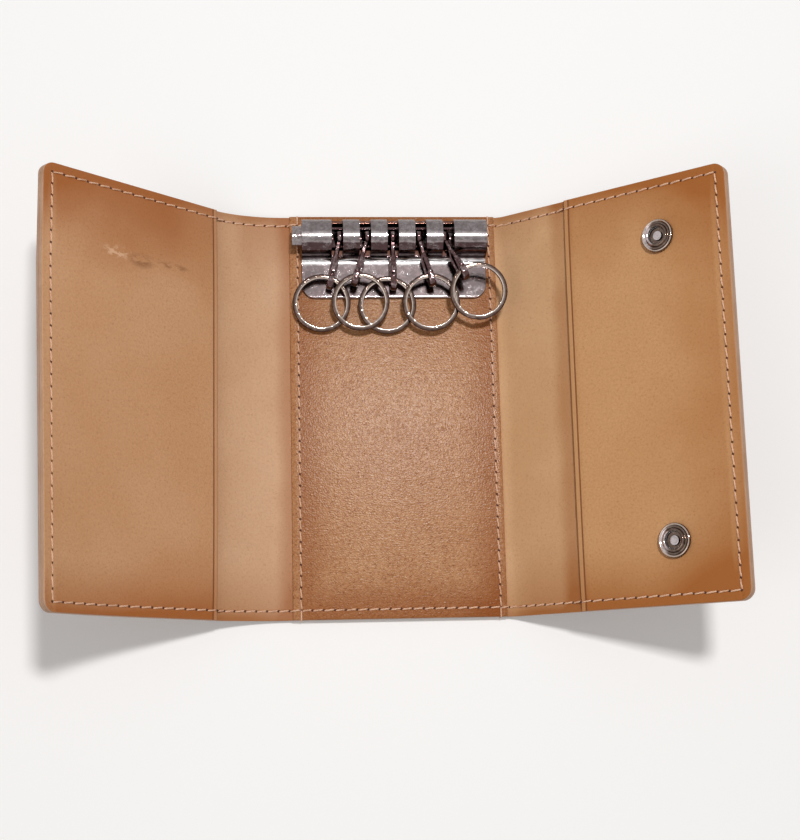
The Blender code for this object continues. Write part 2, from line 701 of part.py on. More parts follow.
def ring_mesh():
    """Split ring: flat wire wound in two turns, whose ends stop on both sides of the step over."""
    inner, outer, edge = RING_RADIUS - RING_WIDTH, RING_RADIUS, RING_EDGE
    half = (RING_HEIGHT - RING_TURN_GAP) / 4
    section = [(inner, -half), (outer - edge, -half), (outer, edge - half),
               (outer, half - edge), (outer - edge, half), (inner, half)]
    rings = []
    for angle, level in ring_turns():
        way = Vector((cos(RING_STEP_PLACE + angle), sin(RING_STEP_PLACE + angle), 0))
        rings.append([way * radius + Vector((0, 0, level + height)) for radius, height in section])
    return loft("ring", rings)


def eye_height():
    """Middle of the hook's eye over the middle of its neck."""
    return HOOK_INSIDE / 2 + HOOK_LEG_THICK / 2 - BACK_LEG_DROP


def hook_rise(index):
    """Slope of the stem that brings the middle of the hook's eye into its ring's plane.

    The rings lie in parallel planes, one ring height and a gap apart; the lowest plane leaves the
    back leg of a straight hook free of the plate.
    """
    lowest = BAR_BOTTOM + BAR_SHEET + HOOK_REST_GAP + HOOK_LEG_THICK + HOOK_INSIDE / 2
    plane = lowest * cos(RING_TILT) + RING_SEAT * sin(RING_TILT) + RING_LEVELS[index] * RING_LEVEL
    over_ball = plane - BARREL_Z * cos(RING_TILT)
    reach = RING_SEAT * cos(HOOK_LEANS[index])
    return asin(over_ball / hypot(reach, eye_height())) - atan2(eye_height(), reach) - RING_TILT


def make_hooks(finishes):
    mesh = hook_mesh(finishes["nickel"])
    gate = gate_mesh()
    ring = ring_mesh()
    for index, (lean, shift) in enumerate(zip(HOOK_LEANS, HOOK_SHIFTS)):
        number = index + 1
        place = Vector((slot_x(index) + shift, BARREL_Y, BARREL_Z))
        turn = Matrix.Rotation(-hook_rise(index), 4, "X") @ Matrix.Rotation(lean, 4, "Z")
        frame = Matrix.Translation(place) @ turn
        hook = add_object(f"hook_{number}", mesh, finishes["nickel"])
        hook.matrix_world = frame
        smooth(hook)
        leaf = add_object(f"hook_gate_{number}", gate, finishes["nickel"])
        leaf.matrix_world = frame @ Matrix.Translation((0, -GATE_ROOT, gate_root_height()))
        seat = frame @ Vector((0, -RING_SEAT, eye_height()))
        tilt = Matrix.Rotation(RING_TILT, 4, "X") @ Matrix.Rotation(RING_TURNS[index], 4, "Z")
        middle = RING_RADIUS - RING_WIDTH / 2
        held = add_object(f"ring_{number}", ring, finishes["nickel"])
        held.matrix_world = Matrix.Translation(seat) @ tilt @ Matrix.Translation((0, -middle, 0))
        smooth(held)


def socket_profile():
    """Rolled rim, groove, raised ring round the throat with the spring's groove, and a riveted base."""
    floor, wall = SNAP_SEAT_GAP, SOCKET_RADIUS - SOCKET_THROAT
    base, hole = floor + SOCKET_BASE, POST_RADIUS + POST_CLEARANCE
    outside = [(SOCKET_THROAT + wall * out, floor + SOCKET_HEIGHT * up) for out, up in SOCKET_SHARES]
    room = SNAP_SPRING_WIRE / 2 + SNAP_SPRING_PLAY
    deep, level = SNAP_SPRING_RADIUS + room, floor + SNAP_SPRING_LEVEL
    groove = [(SOCKET_THROAT, level + room), (deep, level + room), (deep, level - room),
              (SOCKET_THROAT, level - room)]
    return [(hole, floor)] + outside + groove + [(SOCKET_THROAT, base), (hole, base)]


def rivet(start, direction):
    """End of a post, spread over the edge of a hole: start is the face that it holds."""
    near = start + direction * RIVET_GAP
    far = near + direction * RIVET_THICK
    return [(0, far), (RIVET_RADIUS, far), (RIVET_RADIUS, near), (POST_RADIUS, near)]


def cap_profile():
    """Domed cap with its post, which goes through the flap and is spread inside the socket."""
    low = -SNAP_SEAT_GAP
    rim, crown = CAP_HEIGHT * CAP_RIM_SHARE, CAP_HEIGHT * (1 - CAP_RIM_SHARE)
    dome = []
    for i in range(CORNER_STEPS):
        angle = pi / 2 * i / CORNER_STEPS
        dome.append((CAP_RADIUS * cos(angle), low - rim - crown * sin(angle)))
    dome.append((0, low - CAP_HEIGHT))
    held_face = POCKET_LEVELS[1] - OUTER_LEVELS[0] + SNAP_SEAT_GAP + SOCKET_BASE
    return rivet(held_face, 1) + [(POST_RADIUS, low), (CAP_RADIUS * CAP_EDGE_SHARE, low)] + dome


def stud_profile():
    """Base flange and waisted hollow head, standing on the outer face (downward)."""
    base = SNAP_SEAT_GAP
    floor, tip = base + STUD_FLANGE, base + STUD_FLANGE + STUD_HEAD_HEIGHT
    hole = POST_RADIUS + POST_CLEARANCE
    flange = [(STUD_RADIUS * out, base + STUD_FLANGE * up) for out, up in STUD_FLANGE_SHARES]
    head = [(STUD_HEAD_RADIUS * out, floor + STUD_HEAD_HEIGHT * up) for out, up in STUD_HEAD_SHARES]
    return [(hole, base)] + flange + head + [(STUD_BORE_RADIUS, tip), (STUD_BORE_RADIUS, floor), (hole, floor)]


def stud_back_profile():
    """Flat head in the lining's hole, with a post through the outer leather into the stud."""
    low, high = LINING_LEVELS
    held_face = OUTER_LEVELS[0] - SNAP_SEAT_GAP - STUD_FLANGE
    post = list(reversed(rivet(held_face, -1)))
    return [(0, high), (STUD_BACK_RADIUS, high), (STUD_BACK_RADIUS, low), (POST_RADIUS, low)] + post


def spring_ring_mesh():
    """Round wire, open over a small angle, that grips the stud inside the socket."""
    rings = []
    for i in range(SNAP_SPRING_STEPS + 1):
        share = i / SNAP_SPRING_STEPS
        angle = SNAP_SPRING_OPENING / 2 + (2 * pi - SNAP_SPRING_OPENING) * share
        outward, up = Vector((cos(angle), sin(angle), 0)), Vector((0, 0, 1))
        middle = outward * SNAP_SPRING_RADIUS + up * (SNAP_SEAT_GAP + SNAP_SPRING_LEVEL)
        rings.append(wire_ring(middle, outward, up, SNAP_SPRING_WIRE / 2))
    return loft("snap_spring", rings)


def make_snaps(finishes, pivots):
    inner_face, outer_face = POCKET_LEVELS[1], OUTER_LEVELS[0]
    socket = turned("snap_socket", socket_profile(), SNAP_STEPS)
    spring = spring_ring_mesh()
    cap = turned("snap_cap", cap_profile(), SNAP_STEPS)
    stud = turned("snap_stud", stud_profile(), SNAP_STEPS)
    back = turned("snap_stud_back", stud_back_profile(), SNAP_STEPS)
    right = snap_places(1, SNAP_ALONG)
    left = snap_places(-1, stud_along())
    for name, socket_place, stud_place in zip(("upper", "lower"), right, left):
        flip = Matrix.Rotation(pi, 4, "X")
        pieces = [
            (f"snap_socket_{name}", socket, socket_place, inner_face, Matrix(), "right_flap", "nickel"),
            (f"snap_spring_{name}", spring, socket_place, inner_face, Matrix(), "right_flap", "steel"),
            (f"snap_cap_{name}", cap, socket_place, outer_face, Matrix(), "right_flap", "nickel"),
            (f"snap_stud_{name}", stud, stud_place, outer_face, flip, "left_flap", "nickel"),
            (f"snap_stud_back_{name}", back, stud_place, 0.0, Matrix(), "left_flap", "steel"),
        ]
        for node, mesh, place, level, turn, body, finish in pieces:
            made = add_object(node, mesh, finishes[finish], pivots[body])
            made.matrix_local = Matrix.Translation((place[0], place[1], level)) @ turn
            smooth(made)


def make_pivots():
    """Empties on the fold axes, at rest, so that every field turns about its own fold."""
    pivots = {}
    pivots["left_spine"] = pivot("left_spine_fold", (-CENTRE_HALF, 0, NEUTRAL))
    x, z, _ = along(LEFT_SPINE, LEFT_SPINE_CURL, LEFT_SPINE)
    pivots["left_flap"] = pivot("left_flap_fold", (-x, 0, z), pivots["left_spine"], (0, LEFT_FLAP_RISE, 0))
    pivots["right_spine"] = pivot("right_spine_fold", (CENTRE_HALF, 0, NEUTRAL), None, (0, -RIGHT_RISE, 0))
    pivots["right_flap"] = pivot("right_flap_fold", (RIGHT_SPINE, 0, 0), pivots["right_spine"])
    return pivots


def make_finishes():
    return {
        "outer": material("outer_leather", (0.30, 0.13, 0.05), 0.5, 0.0),
        "lining": material("lining_leather", (0.50, 0.26, 0.13), 0.55, 0.0),
        "pocket": material("pocket_leather", (0.42, 0.20, 0.09), 0.5, 0.0),
        "patch": material("patch_leather", (0.36, 0.15, 0.06), 0.5, 0.0),
        "nickel": material("antique_nickel", (0.45, 0.44, 0.43), 0.28, 1.0),
        "steel": material("plain_steel", (0.36, 0.35, 0.34), 0.4, 1.0),
    }


def main():
    for obj in list(bpy.data.objects):
        bpy.data.objects.remove(obj)
    finishes = make_finishes()
    pivots = make_pivots()
    sheets = make_leather(finishes, pivots)
    cut_leather(sheets, pivots)
    make_key_bar(finishes)
    make_slide(finishes)
    make_slide_spring(finishes)
    make_hooks(finishes)
    make_snaps(finishes, pivots)
    print("flaps slope when shut, degrees:", round(degrees(CLOSED_SLOPE), 2))


main()
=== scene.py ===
# %% [markdown]
# # A three-fold leather key case
#
# The case lies open on its back. Two leathers, sewn together all round, cross four folds, and
# slip pockets lie on both flaps. A nickel key bar with five hooks and split rings is pinned
# through a patch in the middle. The metal and the joints come from a fixed frame of solids, and
# this script dresses them: it makes the leather, the sewing, the split rings and every finish.

import json
import random
from math import atan2, cos, hypot, pi, radians, sin, sqrt, tan

import bmesh
import bpy
from mathutils import Matrix, Vector


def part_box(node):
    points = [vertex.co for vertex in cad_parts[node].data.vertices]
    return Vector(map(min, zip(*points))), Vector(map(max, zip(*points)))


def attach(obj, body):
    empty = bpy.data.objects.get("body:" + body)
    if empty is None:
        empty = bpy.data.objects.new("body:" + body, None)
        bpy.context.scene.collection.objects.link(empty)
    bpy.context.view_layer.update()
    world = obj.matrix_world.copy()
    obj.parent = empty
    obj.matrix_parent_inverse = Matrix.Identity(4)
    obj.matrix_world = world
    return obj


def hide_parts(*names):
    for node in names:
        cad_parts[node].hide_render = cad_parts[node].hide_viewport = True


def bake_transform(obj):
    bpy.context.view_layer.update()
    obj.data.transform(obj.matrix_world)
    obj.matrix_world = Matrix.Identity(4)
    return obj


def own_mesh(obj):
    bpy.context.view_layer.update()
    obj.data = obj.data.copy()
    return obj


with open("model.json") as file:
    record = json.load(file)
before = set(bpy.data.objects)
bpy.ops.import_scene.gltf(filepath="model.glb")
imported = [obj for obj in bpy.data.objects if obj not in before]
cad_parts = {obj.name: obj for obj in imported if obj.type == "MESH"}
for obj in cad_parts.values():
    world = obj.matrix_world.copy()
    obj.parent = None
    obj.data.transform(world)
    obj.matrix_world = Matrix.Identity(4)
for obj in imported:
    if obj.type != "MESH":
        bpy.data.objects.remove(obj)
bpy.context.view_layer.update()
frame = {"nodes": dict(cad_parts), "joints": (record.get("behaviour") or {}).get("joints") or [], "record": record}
joints = {joint["name"]: joint for joint in frame["joints"]}
MM = 0.001

# %% [markdown]
# ## Camera
#
# The picture was taken from above, a little from the bottom edge of the case. The camera's place,
# turn and lens were fitted once to the corners of the case, and are kept here as three values.

# %% Camera
CAMERA_PLACE = Vector((-28.69, -77.76, 392.92)) * MM
CAMERA_ROWS = ((0.99724, -0.02304, 0.07064), (0.00913, 0.9815, 0.19125), (-0.07374, -0.19008, 0.979))
CAMERA_LENS = 66.65
SENSOR_WIDTH = 36.0


def put_in_scene(name, data):
    made = bpy.data.objects.new(name, data)
    bpy.context.scene.collection.objects.link(made)
    return made


lens = bpy.data.cameras.new("camera")
lens.lens, lens.sensor_width = CAMERA_LENS, SENSOR_WIDTH
lens.clip_start, lens.clip_end = 0.01, 20.0
camera = put_in_scene("camera", lens)
camera.matrix_world = Matrix.Translation(CAMERA_PLACE) @ Matrix(CAMERA_ROWS).transposed().to_4x4()
bpy.context.scene.camera = camera
bpy.context.scene.view_settings.view_transform = "Standard"
print("camera looks from", [round(value, 3) for value in CAMERA_PLACE])

# %% [markdown]
# ## Sizes read from the frame
#
# Nothing is measured twice: the folds are where the joints are, and the lengths and levels of the
# leathers come from the frame's solids. A field's level is its height over the middle of the
# outer leather, where the folds turn.

# %% Folds and levels
def joint_place(name):
    return Vector(joints[name]["pos_m"])


def span(node, origin, direction):
    """Nearest and farthest reach of a node from an origin, along a direction."""
    reaches = [(vertex.co - origin).dot(direction) for vertex in frame["nodes"][node].data.vertices]
    return min(reaches), max(reaches)


LEFT_FOLD, RIGHT_FOLD = joint_place("left_spine_fold"), joint_place("right_spine_fold")
LEFT_END, RIGHT_END = joint_place("left_flap_fold"), joint_place("right_flap_fold")
CENTRE_HALF = RIGHT_FOLD.x
CASE_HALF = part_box("outer_centre")[1].y
LEFT_CURL = 2 * atan2(LEFT_END.z - LEFT_FOLD.z, LEFT_FOLD.x - LEFT_END.x)
LEFT_SPINE = (LEFT_END - LEFT_FOLD).length * (LEFT_CURL / 2) / sin(LEFT_CURL / 2)
RIGHT_SPINE = (RIGHT_END - RIGHT_FOLD).length
LEFT_RISE = -radians(joints["left_flap_fold"]["range_deg"][0])
RIGHT_RISE = -radians(joints["right_spine_fold"]["range_deg"][0])
LEFT_FLAP_WAY = Vector((-cos(LEFT_RISE), 0, sin(LEFT_RISE)))
LEFT_FLAP_UP = Vector((sin(LEFT_RISE), 0, cos(LEFT_RISE)))
RIGHT_FLAP_WAY = Vector((cos(RIGHT_RISE), 0, sin(RIGHT_RISE)))
LEFT_FLAP = span("outer_left_flap", LEFT_END, LEFT_FLAP_WAY)[1]
RIGHT_FLAP = span("outer_right_flap", RIGHT_END, RIGHT_FLAP_WAY)[1]
OUTER_LOW = span("outer_left_flap", LEFT_END, LEFT_FLAP_UP)[0]
LINING_LOW, LINING_TOP = span("lining_left_flap", LEFT_END, LEFT_FLAP_UP)
POCKET_TOP = span("left_pocket", LEFT_END, LEFT_FLAP_UP)[1]
PATCH_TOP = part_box("centre_patch")[1].z - RIGHT_FOLD.z
PATCH_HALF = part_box("centre_patch")[1].x
LEFT_MOUTH = span("left_pocket", LEFT_END, LEFT_FLAP_WAY)[0]
RIGHT_MOUTH = span("right_pocket", RIGHT_END, RIGHT_FLAP_WAY)[0]
CORNER_RADIUS = 3.0 * MM
print("left flap", round(LEFT_FLAP / MM, 1), "right flap", round(RIGHT_FLAP / MM, 1), "mm")

# %% [markdown]
# ## Where a point of the leather lies
#
# A case like this is cut flat, so its leathers are easiest to describe flat: a place across the
# case (minus to the left), a place along it, and a level over the outer leather's middle. One
# function bends that flat place into the open case. A sharp corner would look like folded card,
# so each fold is rounded by a small arc that touches both fields. The left flap's free edge curls
# up a little toward its lower corner, as leather does that has been carried in a pocket.

# %% Bend a flat place into the open case
FOLD_HALF = 2.6 * MM
CURVE_STEPS = 12


def arc_over_fold(past, bend, level):
    """Place near a rounded fold, in its own plane: past is the distance beyond the fold line."""
    radius = FOLD_HALF / tan(bend / 2)
    angle = bend * (past + FOLD_HALF) / (2 * FOLD_HALF)
    return (radius * sin(angle) - FOLD_HALF - level * sin(angle),
            radius * (1 - cos(angle)) + level * cos(angle))


def right_side(distance, level):
    past = distance - CENTRE_HALF
    if past < -FOLD_HALF:
        return distance, level
    if past < FOLD_HALF:
        x, z = arc_over_fold(past, RIGHT_RISE, level)
        return CENTRE_HALF + x, z
    return (CENTRE_HALF + past * cos(RIGHT_RISE) - level * sin(RIGHT_RISE),
            past * sin(RIGHT_RISE) + level * cos(RIGHT_RISE))


def left_side(distance, level):
    past = distance - CENTRE_HALF
    if past < 0:
        return distance, level
    radius = LEFT_SPINE / LEFT_CURL
    turned = min(past, LEFT_SPINE - FOLD_HALF) / radius
    x, z = CENTRE_HALF + radius * sin(turned), radius * (1 - cos(turned))
    if past < LEFT_SPINE - FOLD_HALF:
        return x - level * sin(turned), z + level * cos(turned)
    beyond = past - LEFT_SPINE + FOLD_HALF
    share = min(beyond / (2 * FOLD_HALF), 1.0)
    stride = 2 * FOLD_HALF * share / CURVE_STEPS
    for i in range(CURVE_STEPS):
        middle = turned + (LEFT_RISE - turned) * share * (i + 0.5) / CURVE_STEPS
        x, z = x + stride * cos(middle), z + stride * sin(middle)
    slope = turned + (LEFT_RISE - turned) * share
    rest = beyond - 2 * FOLD_HALF * share
    x, z = x + rest * cos(slope), z + rest * sin(slope)
    return x - level * sin(slope), z + level * cos(slope)


def bent(across, along, level):
    """The place in the open case of a flat place: across the case, along it, over the outer leather."""
    if across >= 0:
        x, z = right_side(across, level)
        return Vector((x, along, RIGHT_FOLD.z + z))
    x, z = left_side(-across, level + curl(across, along))
    return Vector((-x, along, LEFT_FOLD.z + z))


CURL_START, CURL_REACH, CURL_MOST, CURL_BEGIN = 24.0 * MM, 30.9 * MM, 4.0 * MM, 28.0 * MM


def curl(across, along):
    """How far the left flap's free edge curls up, most at its lower corner."""
    beyond = -across - CENTRE_HALF - LEFT_SPINE - CURL_START
    lower = CURL_BEGIN - along
    if beyond <= 0 or lower <= 0:
        return 0.0
    return CURL_MOST * lower / (CURL_BEGIN + CASE_HALF) * (beyond / CURL_REACH) ** 2


LEFT_REACH = CENTRE_HALF + LEFT_SPINE + LEFT_FLAP
RIGHT_REACH = CENTRE_HALF + RIGHT_SPINE + RIGHT_FLAP
print("cut across:", round((LEFT_REACH + RIGHT_REACH) / MM, 1), "mm, along:", round(2 * CASE_HALF / MM, 1))
tip_off = bent(-LEFT_REACH, 0, 0) - LEFT_END - LEFT_FLAP_WAY * LEFT_FLAP
print("left tip off by", round(tip_off.length / MM, 2), "mm")

# %% [markdown]
# ## Shader groups for the leather
#
# Vegetable-tanned leather is pale in the open and browner where hands and tools have rubbed it:
# toward the cut edges and along folds. Every leather sheet carries two values at its points: its
# flat place, so that the grain stays put when a fold bends, and its distance to the nearest
# finished edge. The groups read those values, and each material sets its own amounts. A small
# class lets a node's output be reckoned with like a number, which keeps the recipes short.

# %% Small helpers for nodes
def feed(node, inputs):
    """Feed inputs by name or number, each with a signal or a plain value."""
    for label, value in inputs.items():
        if isinstance(value, Signal):
            node.id_data.links.new(value.socket, node.inputs[label])
        else:
            node.inputs[label].default_value = value


def add_node(tree, kind, inputs=None, **settings):
    node = tree.nodes.new("ShaderNode" + kind)
    for name, value in settings.items():
        setattr(node, name, value)
    feed(node, inputs or {})
    return node


def maths(operation, *values, kind="Math", output=0):
    """A sum of values, of which one or more are signals."""
    tree = next(value.tree for value in values if isinstance(value, Signal))
    return Signal(tree, add_node(tree, kind, dict(enumerate(values)), operation=operation).outputs[output])


class Signal:
    """A node's output: a number, a place or a colour at each point of a surface."""

    def __init__(self, tree, socket):
        self.tree, self.socket = tree, socket

    def into(self, kind, inputs, output, **settings):
        return Signal(self.tree, add_node(self.tree, kind, inputs, **settings).outputs[output])

    def __add__(self, other):
        return maths("ADD", self, other)

    def __sub__(self, other):
        return maths("SUBTRACT", self, other)

    def __mul__(self, other):
        return maths("MULTIPLY", self, other)

    def __truediv__(self, other):
        return maths("DIVIDE", self, other)

    def ramp(self, low, high, new_low=0.0, new_high=1.0, way="LINEAR"):
        return self.into("MapRange", {"Value": self, "From Min": low, "From Max": high, "To Min": new_low,
                                      "To Max": new_high}, "Result", interpolation_type=way)

    def ease(self, low, high, new_low=0.0, new_high=1.0):
        return self.ramp(low, high, new_low, new_high, "SMOOTHSTEP")

    def blend(self, first, second, mode="MIX"):
        """The second colour over the first, by this amount."""
        return self.into("Mix", {"Factor": self, "A": first, "B": second}, "Result", data_type="RGBA",
                         blend_type=mode)

    def stretch(self, scales):
        return self.into("Mapping", {"Vector": self, "Scale": scales}, "Vector")

    def noise(self, scale, detail=4.0, roughness=0.55):
        return self.into("TexNoise", {"Vector": self, "Scale": scale, "Detail": detail,
                                      "Roughness": roughness}, "Fac")

    def cells(self, scale, feature="F1"):
        return self.into("TexVoronoi", {"Vector": self, "Scale": scale}, "Distance", feature=feature)

    def bump(self, strength, distance):
        """The normal of a surface with this height, whose distance is in mm."""
        return self.into("Bump", {"Strength": strength, "Distance": distance * MM, "Height": self}, "Normal")

    def split(self):
        axes = add_node(self.tree, "SeparateXYZ", {0: self}).outputs
        return {axis: Signal(self.tree, axes[axis]) for axis in "XYZ"}


def attribute(tree, name, output="Fac"):
    return Signal(tree, add_node(tree, "Attribute", attribute_name=name).outputs[output])


def new_group(name, inputs, outputs):
    """A shader group, the signals given to it, and its end. Each input is of its value's kind."""
    group = bpy.data.node_groups.new(name, "ShaderNodeTree")
    for label, value in inputs.items():
        kind = "NodeSocketVector" if isinstance(value, tuple) else "NodeSocketFloat"
        group.interface.new_socket(label, in_out="INPUT", socket_type=kind).default_value = value
    for label in outputs:
        group.interface.new_socket(label, in_out="OUTPUT", socket_type="NodeSocketFloat")
    entry, leave = (group.nodes.new("NodeGroup" + end) for end in ("Input", "Output"))
    return group, {label: Signal(group, entry.outputs[label]) for label in inputs}, leave


def use_group(tree, group, inputs):
    outputs = add_node(tree, "Group", inputs, node_tree=group).outputs
    return {socket.name: Signal(tree, socket) for socket in outputs}


def new_material(name):
    made = bpy.data.materials.new(name)
    made.use_nodes = True
    return made, made.node_tree, made.node_tree.nodes["Principled BSDF"]


def srgb(*levels):
    """Linear colour of an 8-bit sRGB colour."""
    shares = [level / 255 for level in levels]
    return (*(share / 12.92 if share <= 0.04045 else ((share + 0.055) / 1.055) ** 2.4 for share in shares),
            1.0)


NOWHERE = (0.0, 0.0, 0.0)
print("helpers ready")

# %% [markdown]
# ### Tanned grain
#
# The grain side of smooth hide has soft clouds of colour as wide as a fingertip, fine growth lines,
# small pores, and a height of only some hundredths of a millimetre.

# %% Tanned grain group
def make_tanned_grain():
    group, given, leave = new_group(
        "tanned_grain", {"Place": NOWHERE, "Cloud Size": 0.05, "Pebble": 0.3, "Lines": 0.25},
        ("Clouds", "Specks", "Mottle", "Height"))
    place = given["Place"]
    fine = place.noise(1.6, 5.0, 0.7)
    speck = place.cells(1.9).ease(0.05, 0.30, 1.0, 0.0) * place.noise(0.55, 3.0).ease(0.50, 0.68)
    lines = place.stretch((0.35, 2.4, 1.0)).noise(1.0, 4.0, 0.6) * given["Lines"]
    bumps = place.cells(2.6, "SMOOTH_F1") * given["Pebble"]
    feed(leave, {
        "Clouds": place.noise(given["Cloud Size"], 5.0, 0.5),
        "Specks": maths("MAXIMUM", speck, fine.ease(0.56, 0.74, 0.0, 0.6)),
        "Mottle": fine.ramp(0.36, 0.64),
        "Height": fine * 0.5 + lines - speck * 0.5 + bumps,
    })
    return group


TANNED_GRAIN = make_tanned_grain()
print("group:", TANNED_GRAIN.name)

# %% [markdown]
# ### Burnish
#
# Rubbing darkens the leather near its finished edges. The mask is strongest at the edge, fades over
# some millimetres, and its border wanders with a soft noise, because a hand did it.

# %% Burnish group
def make_burnish():
    group, given, leave = new_group(
        "burnish", {"Place": NOWHERE, "Edge": 0.0, "Near": 2.0, "Far": 12.0, "Wander": 4.0}, ("Mask",))
    drift = (given["Place"].noise(0.05, 3.0, 0.5) - 0.5) * given["Wander"]
    feed(leave, {"Mask": (given["Edge"] + drift).ease(given["Near"], given["Far"], 1.0, 0.0)})
    return group


BURNISH = make_burnish()
print("group:", BURNISH.name)

# %% [markdown]
# ### Scuffs
#
# Keys and pockets leave marks: dark smudges that run one way, and pale rubbed spots. Each kind lies
# in one place only, so the group keeps its marks inside a soft oval round a chosen spot.

# %% Scuff group
def make_scuffs():
    group, given, leave = new_group(
        "scuffs", {"Place": NOWHERE, "Middle": NOWHERE, "Reach": (10.0, 3.0, 1.0), "Size": 0.3,
                   "Rarity": 0.5}, ("Mask",))
    place, rarity = given["Place"], given["Rarity"]
    offset = place
    for operation, value in (("SUBTRACT", given["Middle"]), ("DIVIDE", given["Reach"]),
                             ("MULTIPLY", (1.0, 1.0, 0.0))):
        offset = maths(operation, offset, value, kind="VectorMath")
    inside = maths("LENGTH", offset, kind="VectorMath", output="Value").ease(0.25, 1.0, 1.0, 0.0)
    streaks = place.stretch((0.45, 1.0, 1.0)).noise(given["Size"], 4.0, 0.6)
    feed(leave, {"Mask": streaks.ease(rarity, rarity + 0.14) * inside})
    return group


SCUFFS = make_scuffs()
print("group:", SCUFFS.name)

# %% [markdown]
# ### Leather material
#
# One function makes the finish of each sheet. It mixes a pale and a tan colour by the clouds, adds
# brown where the sheet is burnished, and presses a shallow groove under the sewing and a crease
# beside a pocket's open side. The crease and the open edge are painted a dark line, as painted
# shade in the crease and painted shadow under the lifted edge, and the strip between them is
# painted lighter, as painted light on that ridge. A sweep adds brown from one place to another
# across or along the flat sheet, as on a flap that is darker toward the top, and a corner does so
# both ways at once. The patch is polished by the keys: a thin clear coat gives it a soft light spot.

# %% Leather material
SEAM_INSET = 2.35
SEAM_GROOVE = 0.55
CREASE_INSET = 1.4
CREASE_WIDTH = 0.34
CLOUD_SIZE = 0.04
# Painted shade: the dark line in a pocket's crease and the shadow under its open edge.
SHADE_LINE = srgb(112, 62, 32)


def leather(name, pale, tan_color, brown, near=0.3, far=3.0, wander=1.5, depth=0.35, pebble=0.25, lines=0.25,
            roughness=0.52, sweeps=(), corners=(), groove=0.8, speckle=0.4, scuffed=(), gloss=0.25,
            mottle=0.24, polish=0.0, relief=0.12):
    made, tree, shader = new_material(name)
    pale, tan_color, brown = (srgb(*tone) for tone in (pale, tan_color, brown))
    place = attribute(tree, "flat_place", "Vector")
    grain = use_group(tree, TANNED_GRAIN, {"Place": place, "Cloud Size": CLOUD_SIZE, "Pebble": pebble,
                                           "Lines": lines})
    burnish = use_group(tree, BURNISH, {"Place": place, "Edge": attribute(tree, "edge_distance"),
                                        "Near": near, "Far": far, "Wander": wander})
    worn = burnish["Mask"] * depth
    axes = place.split()
    drift = grain["Clouds"] - 0.5
    for axis, start, end, amount in sweeps:
        worn += (axes[axis] + drift * (0.7 * abs(end - start))).ease(start, end, 0.0, amount)
    for x_start, x_end, y_start, y_end, amount in corners:
        worn += axes["X"].ease(x_start, x_end) * axes["Y"].ease(y_start, y_end) * amount
    worn = maths("MINIMUM", maths("MAXIMUM", worn, 0.0), 1.0)
    color = grain["Clouds"].ease(0.32, 0.68).blend(pale, tan_color)
    color = worn.blend(color, brown)
    color = (grain["Mottle"] * mottle).blend(color, brown)
    for middle, reach, size, rarity, tone, amount in scuffed:
        marks = use_group(tree, SCUFFS, {"Place": place, "Middle": middle, "Reach": reach, "Size": size,
                                         "Rarity": rarity})
        color = (marks["Mask"] * amount).blend(color, tone)
    specks = grain["Specks"] * speckle
    color = specks.blend(color, brown, "MULTIPLY")
    from_mouth = attribute(tree, "mouth_distance")
    # Painted shade and light at a pocket's open side: the crease and the edge are darkened, as shade in the crease
    # and shadow under the lifted edge, and the strip between them is lightened, as light on that ridge.
    crease = maths("ABSOLUTE", from_mouth - CREASE_INSET).ease(0.0, CREASE_WIDTH, 1.0, 0.0)
    mouth_shadow = from_mouth.ease(0.05, 0.3, 1.0, 0.0)
    color = from_mouth.ease(1.0, 1.2, 0.45, 0.0).blend(color, pale)
    color = maths("MAXIMUM", crease, mouth_shadow).blend(color, SHADE_LINE)
    pressed = attribute(tree, "seam_distance").ease(0.0, SEAM_GROOVE, groove, 0.0) + crease * 0.7
    feed(shader, {
        "Base Color": color,
        "Roughness": maths("SUBTRACT", roughness + 0.06, worn * 0.12) + specks * 0.2,
        "Specular IOR Level": gloss,
        "Normal": (grain["Height"] - pressed).bump(0.8, relief),
    })
    if polish:
        feed(shader, {"Coat Weight": polish, "Coat Roughness": 0.14,
                      "Coat Normal": grain["Height"].bump(0.8, 0.02)})
    return made


